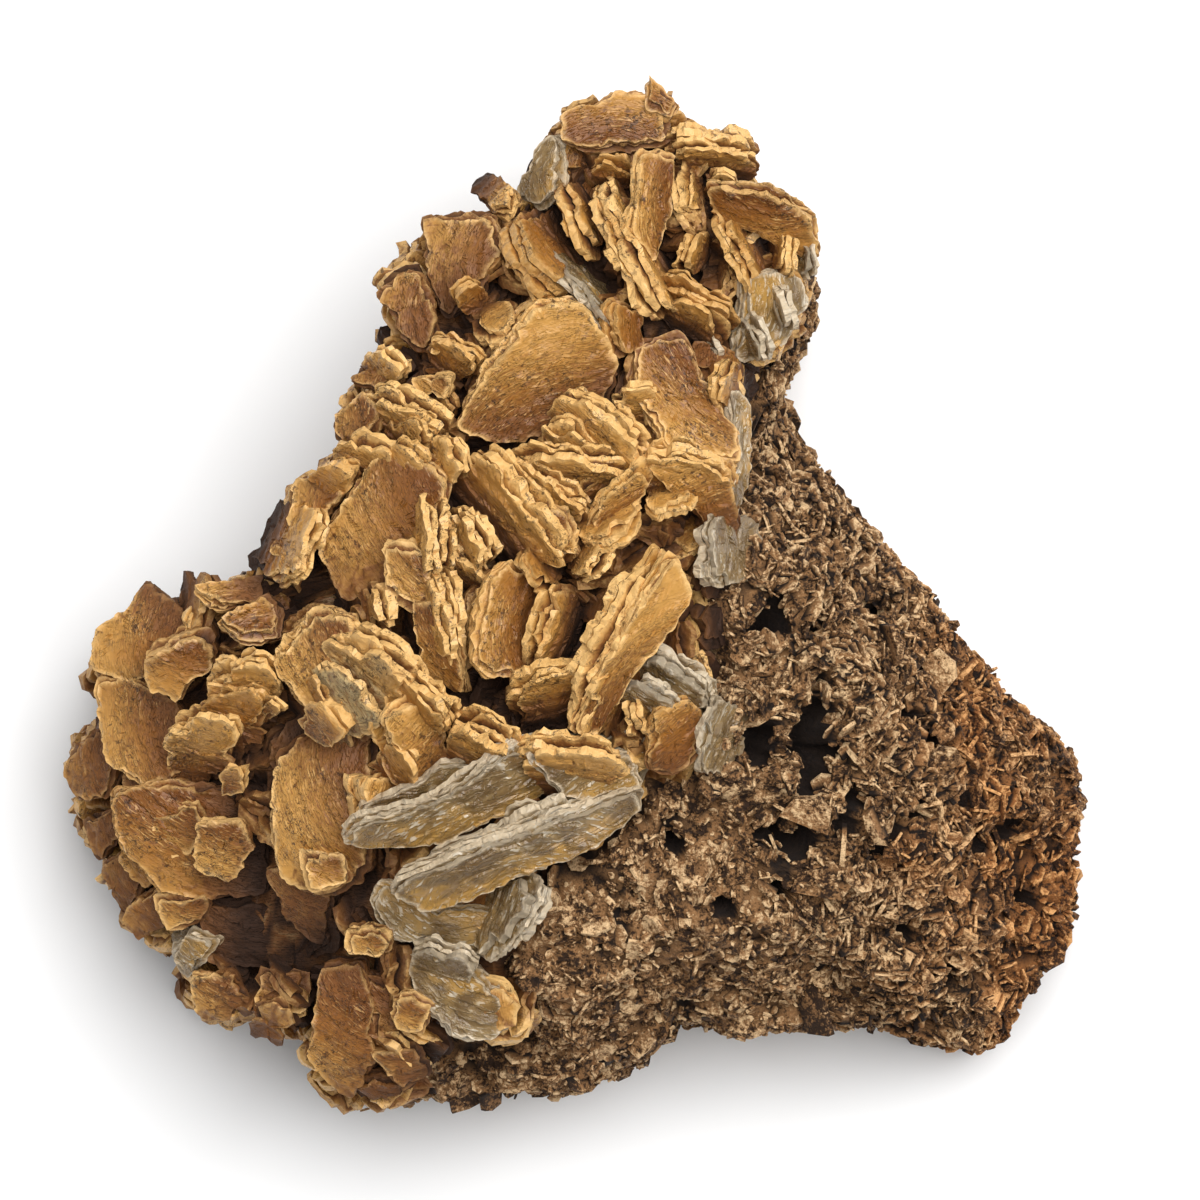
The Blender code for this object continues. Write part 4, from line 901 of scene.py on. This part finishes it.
def filling_blades(count, seed):
    """Blades on edge in the gaps that the listed crystals leave, a little below their tips. A gap is
    where no listed crystal covers the bed, seen from above."""
    random = np.random.default_rng(seed)
    listed = [crystal["rim"][:, :2] for crystal in LISTED]
    made = []
    while len(made) < count:
        at = random.uniform(*CRUST_SPAN)
        rim_away = distance(at, CRUST_OUTLINE + CRUST_OUTLINE[:1])
        covered = any(inside(at, rim) for rim in listed) or hollow_at(at)
        if covered or not inside(at, CRUST_OUTLINE) or rim_away < FILLING_MARGIN:
            continue
        half = compass(random.uniform(0, 180))[:2] * random.uniform(2.4, 5.0)
        made.append(fin(
            at - half, at + half, toward=random.uniform(0, 360), dip=random.uniform(48, 76),
            up=random.uniform(-7.0, -2.5), thick=random.uniform(1.0, 2.2), depth=random.uniform(7, 10),
        ))
    return made


RIM_STEP = 5.2
RIM_REACH = 64.2
RIM_HABIT = {**FIN_HABIT, "fan": 0.5, "broken": 1.0, "bow": 0.1, "hanging": True, "grey": 0.0}


def rim_blades(line, rows, seed):
    """Blades along a stretch of the crust's edge in rows, each row a depth below the crest and a way
    in from the line: each sticks out of the bed, turned at random about the way it points, and is
    moved back where its leaves would leave the specimen's box."""
    random = np.random.default_rng(seed)
    line = np.array(line, float)
    along = np.concatenate([[0], np.cumsum(np.linalg.norm(np.diff(line, axis=0), axis=1))])

    def place(where):
        """The plan point so far along the rim."""
        return np.array([np.interp(where, along, line[:, 0]), np.interp(where, along, line[:, 1])])

    made = []
    for row, (drop, inset) in enumerate(rows):
        wheres = np.arange(1.5 * row, along[-1], RIM_STEP)
        for where in wheres + random.uniform(-1.2, 1.2, len(wheres)):
            plan = place(where)
            level = crest(*plan) - drop + random.uniform(-1.5, 1.5)
            step = place(where + 2.5) - place(where - 2.5)
            out = np.array([-step[1], step[0], 0.0])
            out[:2] += random.uniform(-0.4, 0.4, 2) * np.linalg.norm(step)
            out /= max(np.linalg.norm(out), 0.1)
            if level < BED_BOTTOM - 2:
                continue
            rise = np.radians(random.uniform(-15, 50))
            free = out * np.cos(rise) + np.array([0, 0, np.sin(rise)])
            level_side = np.array([-out[1], out[0], 0.0])
            roll = np.radians(random.uniform(-75, 75))
            normal = np.cross(free, level_side)
            normal *= np.sign(normal[2])
            normal = normal * np.cos(roll) + level_side * np.sin(roll)
            across = np.cross(free, normal) * random.uniform(3.0, 5.5)
            down = free * random.uniform(7, 10)
            tip = np.array([*plan, level]) - out * inset
            rim = tip + FIN_SHAPE[:, :1] * across - FIN_SHAPE[:, 1:] * down
            low, high = rim[:, :2].min(0), rim[:, :2].max(0)
            rim[:, :2] += np.maximum(-RIM_REACH - low, 0) - np.maximum(high - RIM_REACH, 0)
            made.append({**RIM_HABIT, "rim": rim, "normal": normal, "free": free,
                         "thick": random.uniform(1.2, 2.6)})
    return made


bed = Pile()
bed.add(*crust_bed())
random = np.random.default_rng(32)
for blade in filling_blades(FILLING_BLADES, 31):
    add_blade(bed, blade, random, spacing=0.9, layers=2, most_rings=5)
crust_piece("barite_bed", bed, HONEY_FINISH)

# Rows of blades on the free side of the crust and on the rock side: depth below the crest, and inset
OUTER_ROWS = [(4.5, 1.6), (8, 1.2), (12, 1.0), (16, 1.4), (20, 2.2), (24, 3.2)]
ROCK_SIDE_ROWS = [(5, 2.0), (8, 1.5)]
OUTER_EDGE = OUTLINE[28:] + OUTLINE[:7] + CRUST_EDGE[:1]

rim = Pile()
random = np.random.default_rng(42)
for blade in rim_blades(OUTER_EDGE, OUTER_ROWS, 41) + rim_blades(CRUST_EDGE, ROCK_SIDE_ROWS, 43):
    add_blade(rim, blade, random, spacing=1.05, layers=2, most_rings=4)
crust_piece("barite_rim", rim, HONEY_FINISH)


# The rock. A rough brown lump, broken flat below: a close mat of tiny flat crystals coated with sandy
# brown grains, open in places, with larger tablets lying on it, and standing flakes on the right.

ROCK_CENTRE = np.array([4.0, -14.0])
ROCK_DROP = 8.0
ROCK_UNDER_CRUST = 15.0
ROCK_INSET = 7.0
ROCK_POINTS = 470
ROCK_RINGS = 84
ROCK_SIDE_RINGS = 28
BARE_SHARE = 0.75
COVERED_SPAN = np.radians([66, 240])
FLAKE_ROOM = 2.0
ROCK_LIMITS = (-63.6, 62.4)


def slow_bumps(x, y):
    """Slow bumps and hollows of the rock, a few millimetres high: crossed sine waves."""
    wave = np.sin(0.21 * x + 0.9) * np.sin(0.17 * y - 0.4) + 0.7 * np.sin(0.13 * x - 0.31 * y)
    return 1.3 * wave + 0.8 * np.sin(0.47 * x + 0.3 * y) * np.sin(0.39 * y - 0.2 * x)


def rock_top(x, y):
    """Height of the rock's upper side: below the crest, and deeper where the crust covers it."""
    points = np.stack([x, y], axis=-1)
    away = distance(points, CRUST_EDGE) * np.where(inside(points, CRUST_OUTLINE), -1, 1)
    covered = smoothstep((3 - away) / 7)
    drop = ROCK_DROP + covered * (ROCK_UNDER_CRUST - ROCK_DROP)
    return crest(x, y) - drop + (1 - covered) * slow_bumps(x, y)


def edge_fall(share):
    """What is left of the rock's height at a share of the way out to its side."""
    return 1 - 0.3 * smoothstep((share - 0.62) / 0.38) ** 1.5


def warmth(points):
    """How orange the rock is: most on the right, in bands and patches."""
    band = smoothstep((points[:, 0] - 26) / 24) * 0.75
    return np.clip(band + 0.9 * (noise(points, 8, 26) - 0.55), 0, 1)


def standing(points):
    """How steeply the flakes of the rock stand: upright on the right and on the sides, flat on the
    lower left."""
    return smoothstep((points[:, 0] + 0.25 * points[:, 1] - 12) / 18)


# Open pits in the rock: middle in plan, and radius
ROCK_PITS = [
    ((24.6, -1.9), 2.1), ((30.2, -3.4), 1.3), ((30.5, -9.4), 1.2), ((30.6, -13.8), 1.7),
    ((22.4, -17.6), 2.6), ((29.4, -17.2), 2.4), ((29.6, -21), 2.2), ((32, -19), 1.6),
    ((27.5, -23.6), 1.2), ((34.5, -24), 1.3), ((24, -28.5), 1.6), ((28, -30), 1.7),
    ((34, -27.5), 1.4), ((39.5, -28), 1.7), ((42.5, -26.5), 1.4), ((45.4, -17.4), 1.2),
    ((48.6, -24.5), 1.2), ((50.4, -31), 1.2), ((46.8, -32.6), 1.3), ((37.8, -31.5), 1.2),
    ((38, -0.8), 1.3), ((42, -14), 1.3), ((18.5, -38), 1.3), ((41, -41), 1.5), ((55, -28), 1.2),
    ((47, -47), 1.3), ((12, -30), 1.2), ((25.5, -36), 1.0), ((31.8, 8.5), 1.2), ((57, -38), 1.2),
]
PIT_SPREAD = 1.2
PIT_DEPTH = 6.5
PITS_ABOVE = 15
LEDGE_STRETCH = (0.4, 0.4, 1.6)


def rock_body():
    """The lump as rings, with more directions on the bare side, pushed in and out by layered noise:
    a coarse crumple, ledges on the sides, rounded grains, and open pits."""
    bare_points = int(ROCK_POINTS * BARE_SHARE)
    bare = np.linspace(COVERED_SPAN[1] - 2 * np.pi, COVERED_SPAN[0], bare_points, endpoint=False)
    hidden = np.linspace(*COVERED_SPAN, ROCK_POINTS - bare_points, endpoint=False)
    angles = np.concatenate([bare, hidden])
    turn = np.mod(angles, 2 * np.pi)
    covered = smoothstep((turn - COVERED_SPAN[0]) / 0.1) * smoothstep((COVERED_SPAN[1] - turn) / 0.1)
    reach = ray_lengths(ROCK_CENTRE, OUTLINE, angles) * 1.012 - ROCK_INSET * covered - FLAKE_ROOM
    ray = np.column_stack([np.cos(angles), np.sin(angles)])
    rings = []
    for share in np.linspace(0.02, 0.99, ROCK_RINGS):
        plan = ROCK_CENTRE + ray * (reach * share)[:, None]
        rings.append(np.column_stack([plan, rock_top(plan[:, 0], plan[:, 1]) * edge_fall(share)]))
    rim = rings[-1][:, 2]
    for level in np.linspace(0.96, 0.02, ROCK_SIDE_RINGS):
        out = 1 - 0.045 * smoothstep((0.3 - level) / 0.3)
        rings.append(np.column_stack([ROCK_CENTRE + ray * (reach * out)[:, None], rim * level]))
    rings.append(np.column_stack([ROCK_CENTRE + ray * (reach * 0.95)[:, None], rim * 0]))
    top = np.array([[*ROCK_CENTRE, rock_top(*ROCK_CENTRE)]])
    points = np.vstack([top, *rings, [[*ROCK_CENTRE, 0]]])
    points[:, :2] = np.clip(points[:, :2], *ROCK_LIMITS)

    out = np.column_stack([(points[:, :2] - ROCK_CENTRE) / 60, np.full(len(points), 0.6)])
    out /= np.linalg.norm(out, axis=1, keepdims=True)
    push = bumps(points, 2.6, 6.5, 21) + bumps(points, 2.4, 2.8, 22)
    push += bumps(points, 1.8, 1.4, 23) + bumps(points * LEDGE_STRETCH, 1.0, 2.2, 24)
    for at, size in ROCK_PITS:
        away = np.linalg.norm(points[:, :2] - at, axis=1) / (PIT_SPREAD * size)
        away += bumps(points, 0.9, 1.8, 27)
        push -= PIT_DEPTH * smoothstep((1.35 - away) / 0.8) * (points[:, 2] > PITS_ABOVE)
    push *= np.clip(points[:, 2] / 3, 0, 1)
    push[-1] = 0
    # Hollowness and body feed painted shade in the shader: near black in the hollows, and dark pores where
    # the flakes stand
    hollow = np.clip(0.3 - push / 4.2, 0, 1)
    body = 0.3 + 0.7 * standing(points)
    growth = np.column_stack([noise(points, 1.2, 25), hollow, warmth(points), body])
    return points + out * push[:, None], ring_faces(ROCK_POINTS, len(rings)), growth


# The level above which the rock's top begins, how much closer together its flakes stand there than on
# the sides, and how deep a hollow is kept open
TOP_LEVEL = 24
TOP_CROWDING = 1.6
OPEN_HOLLOW = 0.85


def sites(points, faces, hollow, count, random):
    """Random places spread evenly over a mesh by area, with the surface's normal at each. None is
    under the crust, or in an open pit."""
    a, b, c = (points[faces[:, k]] for k in range(3))
    normal = np.cross(b - a, c - a)
    area = np.linalg.norm(normal, axis=1)
    middle = (a + b + c) / 3
    lift = np.where(inside(middle[:, :2], CRUST_OUTLINE), BED_DROP + CRUST_THICKNESS, 0)
    bare = (middle[:, 2] < crest(middle[:, 0], middle[:, 1]) - lift) & (middle[:, 2] > 0.6)
    crowding = np.where(middle[:, 2] > TOP_LEVEL, TOP_CROWDING, 1.0)
    weight = area * bare * (hollow[faces[:, 0]] < OPEN_HOLLOW) * crowding
    pick = random.choice(len(faces), count, p=weight / weight.sum())
    u, v = random.uniform(0, 1, (2, count, 1))
    fold = u + v > 1
    u, v = np.where(fold, 1 - u, u), np.where(fold, 1 - v, v)
    return a[pick] + u * (b - a)[pick] + v * (c - a)[pick], normal[pick] / area[pick][:, None]


FLAKES = 9600
LARGER_FLAKES = 1500

# A flake's outline, along its foot and up its height, and how much painted shade each corner gets, most at
# the foot
FLAKE_SHAPE = np.array([(-1, -0.5), (1, -0.5), (0.95, 0.6), (0.1, 1), (-0.85, 0.7)])
FLAKE_FOOT_SHADE = [0.95, 0.95, 0.18, 0.0, 0.12]


def flakes(pile, random, at, normal, size, thick, lean, warm):
    """Thin flat crystals as five-sided plates that stand on a surface, all worked out together: each
    has a random heading along the surface and leans from its normal by an angle in radians."""
    count = len(at)
    along = np.cross(normal, random.normal(0, 1, (count, 3)))
    along /= np.linalg.norm(along, axis=1, keepdims=True)
    height = normal * np.cos(lean)[:, None] + np.cross(normal, along) * np.sin(lean)[:, None]
    face = np.cross(along, height)
    corner = FLAKE_SHAPE * random.uniform(0.7, 1.15, (count, 5, 2)) * size[:, None, None] / 2
    flat = corner[..., :1] * along[:, None] + corner[..., 1:] * height[:, None] * 0.85
    half = face[:, None] * thick[:, None, None] / 2
    points = np.concatenate([at[:, None] + flat + half, at[:, None] + flat - half], axis=1)
    k = np.arange(5)
    j = (k + 1) % 5
    one = np.vstack([
        [[0, 1, 2], [0, 2, 3], [0, 3, 4], [5, 7, 6], [5, 8, 7], [5, 9, 8]],
        np.column_stack([k, k + 5, j + 5]), np.column_stack([k, j + 5, j]),
    ])
    faces = (one[None] + 10 * np.arange(count)[:, None, None]).reshape(-1, 3)
    # Painted shade at each flake's foot, less on flakes that lie flat
    foot_shade = np.tile(FLAKE_FOOT_SHADE, 2 * count) * np.repeat(np.clip(1.35 - lean, 0.25, 1), 10)
    tone = np.repeat(random.uniform(0, 1, count), 10)
    growth = np.column_stack([tone, foot_shade, np.repeat(warm, 10), np.zeros(10 * count)])
    points = points.reshape(-1, 3)
    points[:, 2] = np.maximum(points[:, 2], 0)
    pile.add(points, faces, growth)


# The largest tablets on the rock: middle in plan, length, thickness, and lean from lying flat
ROCK_TABLETS = [
    ((45.1, -8.4), 5.8, 1.2, 8), ((31.6, 5.9), 3.6, 1.2, 12), ((45.8, -19.5), 5.4, 1.0, 20),
    ((39, -5), 6.4, 1.0, 66), ((28.8, -26.4), 6.2, 1.2, 22), ((37, -27.4), 4.4, 1.0, 55),
    ((34.3, -31.2), 5.2, 1.0, 55), ((30, -34.9), 5.8, 1.0, 12), ((29.3, -51), 7.2, 1.2, 45),
    ((34, -50), 6.2, 1.2, 45), ((8.6, -48.3), 3.6, 1.0, 28),
]


# Colours of the rock, linear
UMBER = (0.030, 0.013, 0.005)
BROWN = (0.30, 0.150, 0.058)
SANDY_TAN = (0.86, 0.59, 0.32)
ORANGE_STAIN = (1.0, 0.72, 0.46)
# Near black: real pores, and also painted shade between standing flakes
PORE_AND_SHADE = (0.018, 0.009, 0.004)
# Painted shade in the gaps and at the flakes' feet
GAP_SHADE = (0.010, 0.005, 0.003)


def brown_rock():
    """Brown rock: sandy tan and dark umber grains, warmer orange on the right; painted shade, near black
    in the gaps and at the flakes' feet, and painted light, paler along the upper edges of the flakes."""
    made, shader, base = new_material("rock_brown")
    place = base.add("TexCoord", {}, {}, "Object")
    tone, depth, warm, body, _ = growth_of(base)
    patch = place.grain(160, 4, 0.65, 0.4)
    sand = place.grain(1900, 4, 0.75)
    gravel = place.grain(650, 3, 0.6)
    grit = sand * 0.66 + gravel * 0.4 + tone * 0.16 + patch * 0.14
    colour = base.tint(UMBER, BROWN, grit.clamp(0.58, 0.70))
    # Sandy tan is less where deep: the flakes are painted paler at the top than at the foot
    colour = base.tint(colour, SANDY_TAN, (grit - depth * 0.4).clamp(0.62, 0.78, 0, 0.95))
    orange = (warm * 0.95 + tone * 0.25 + patch * 0.2).clamp(0.5, 1.2, 0, 0.9)
    colour = base.tint(colour, ORANGE_STAIN, orange, "MULTIPLY")
    # Dark pores, strongest on the lump where the flakes stand: real pores and painted shade between the
    # flakes
    pore_shade_mask = (gravel * 1.2 + sand * 0.6).clamp(0.70, 0.95, 1, 0) * body
    colour = base.tint(colour, PORE_AND_SHADE, pore_shade_mask * 0.85)
    # Painted shade: near black in the hollows and at the flakes' feet
    colour = base.tint(colour, GAP_SHADE, (depth * 1.2 + gravel * 0.3).clamp(0.5, 0.95, 0, 0.98))
    colour.into(shader, "Base Color")
    (0.7 + sand * 0.25).into(shader, "Roughness")
    height = sand * 0.7 + gravel * 0.9 + place.grain(5200, 2, 0.7) * 0.3
    bump = base.add("Bump", {}, {"Height": height, "Distance": 0.0008, "Strength": 0.9})
    bump.into(shader, "Normal")
    shader.inputs["Specular IOR Level"].default_value = 0.3
    return made


ROCK_FINISH = brown_rock()


def rock_piece(name, pile):
    """A mesh piece that stands for part of the rock."""
    made = pile.make(name, ROCK_FINISH)
    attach(made, "root")
    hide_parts("matrix")


lump_points, lump_faces, lump_growth = rock_body()
lump = Pile()
lump.add(lump_points, lump_faces, lump_growth)
rock_piece("rock_lump", lump)

grains = Pile()
random = np.random.default_rng(51)
at, normal = sites(lump_points, lump_faces, lump_growth[:, 1], FLAKES, random)
upright = standing(at)
size = (0.8 + 2.0 * random.uniform(0, 1, len(at)) ** 1.6) * (0.75 + 0.45 * upright)
lean = np.abs(random.normal(0, 0.45, len(at))) * upright
lean += random.uniform(0.7, 1.5, len(at)) * (1 - upright)
thick = random.uniform(0.16, 0.36, len(at))
flakes(grains, random, at + normal * 0.25, normal, size, thick, lean, warmth(at))
rock_piece("rock_grains", grains)

tablets = Pile()
random = np.random.default_rng(52)
at, normal = sites(lump_points, lump_faces, lump_growth[:, 1], LARGER_FLAKES, random)
size = random.uniform(2.4, 4.6, len(at))
lean = random.uniform(0.3, 1.5, len(at))
keep = (standing(at) > 0.25) | (random.uniform(0, 1, len(at)) < 0.3)
at, normal, size, lean = at[keep], normal[keep], size[keep], lean[keep]
flakes(tablets, random, at, normal, size, size * 0.13, lean, warmth(at))
plan, length, thick, lean = (np.array(column) for column in zip(*ROCK_TABLETS))
nearest = np.linalg.norm(lump_points[None, :-1, :2] - plan[:, None], axis=2).argmin(1)
up = np.tile([0.0, 0.0, 1.0], (len(plan), 1))
warm = np.full(len(plan), 0.35)
flakes(tablets, random, lump_points[nearest] + up * 1.2, up, length, thick, np.radians(90 - lean), warm)
rock_piece("rock_tablets", tablets)


# The stage: a plain white table, a large soft light from the upper right, and a camera looking
# straight down on the specimen.

FLOOR_SIZE = 3.0
FLOOR_LEVEL = -0.0002
CAMERA_HEIGHT = 1.45
CAMERA_PLAN = (0.003125, 0.0004)
FRAME_WIDTH_AT_CREST = 0.150
CREST_LEVEL = 0.035
SENSOR_WIDTH = 36
AIM = (0, 0, 0.03)
TABLE_WHITES = ((0.90, 0.90, 0.90), (0.94, 0.94, 0.94))
WORLD_LIGHT = 0.19

half = FLOOR_SIZE / 2
corners = [(x, y, FLOOR_LEVEL) for x, y in ((-half, -half), (half, -half), (half, half), (-half, half))]
floor_mesh = bpy.data.meshes.new("floor")
floor_mesh.from_pydata(corners, [], [(0, 1, 2, 3)])
floor_finish, floor_shader, floor_nodes = new_material("white_table")
floor_place = floor_nodes.add("TexCoord", {}, {}, "Object")
floor_colour = floor_nodes.tint(*TABLE_WHITES, floor_place.grain(30))
floor_colour.into(floor_shader, "Base Color")
floor_shader.inputs["Roughness"].default_value = 0.9
floor_mesh.materials.append(floor_finish)
floor = bpy.data.objects.new("floor", floor_mesh)
bpy.context.scene.collection.objects.link(floor)


def area_light(name, place, size, power):
    """A square soft light at a place, turned to face the specimen."""
    data = bpy.data.lights.new(name, "AREA")
    data.size = size
    data.energy = power
    made = bpy.data.objects.new(name, data)
    made.location = place
    made.rotation_euler = (Vector(AIM) - Vector(place)).to_track_quat("-Z", "Y").to_euler()
    bpy.context.scene.collection.objects.link(made)


area_light("key", (0.30, 0.36, 1.18), size=1.3, power=29)
area_light("fill", (-0.9, -0.3, 0.9), size=0.9, power=2)
world = bpy.data.worlds.new("studio")
world.use_nodes = True
world.node_tree.nodes["Background"].inputs["Color"].default_value = (1, 1, 1, 1)
world.node_tree.nodes["Background"].inputs["Strength"].default_value = WORLD_LIGHT
bpy.context.scene.world = world
bpy.context.scene.view_settings.view_transform = "Standard"

camera_data = bpy.data.cameras.new("camera")
camera_data.sensor_width = SENSOR_WIDTH
camera_data.lens = SENSOR_WIDTH * (CAMERA_HEIGHT - CREST_LEVEL) / FRAME_WIDTH_AT_CREST
camera = bpy.data.objects.new("camera", camera_data)
camera.location = (*CAMERA_PLAN, CAMERA_HEIGHT)
bpy.context.scene.collection.objects.link(camera)
bpy.context.scene.camera = camera
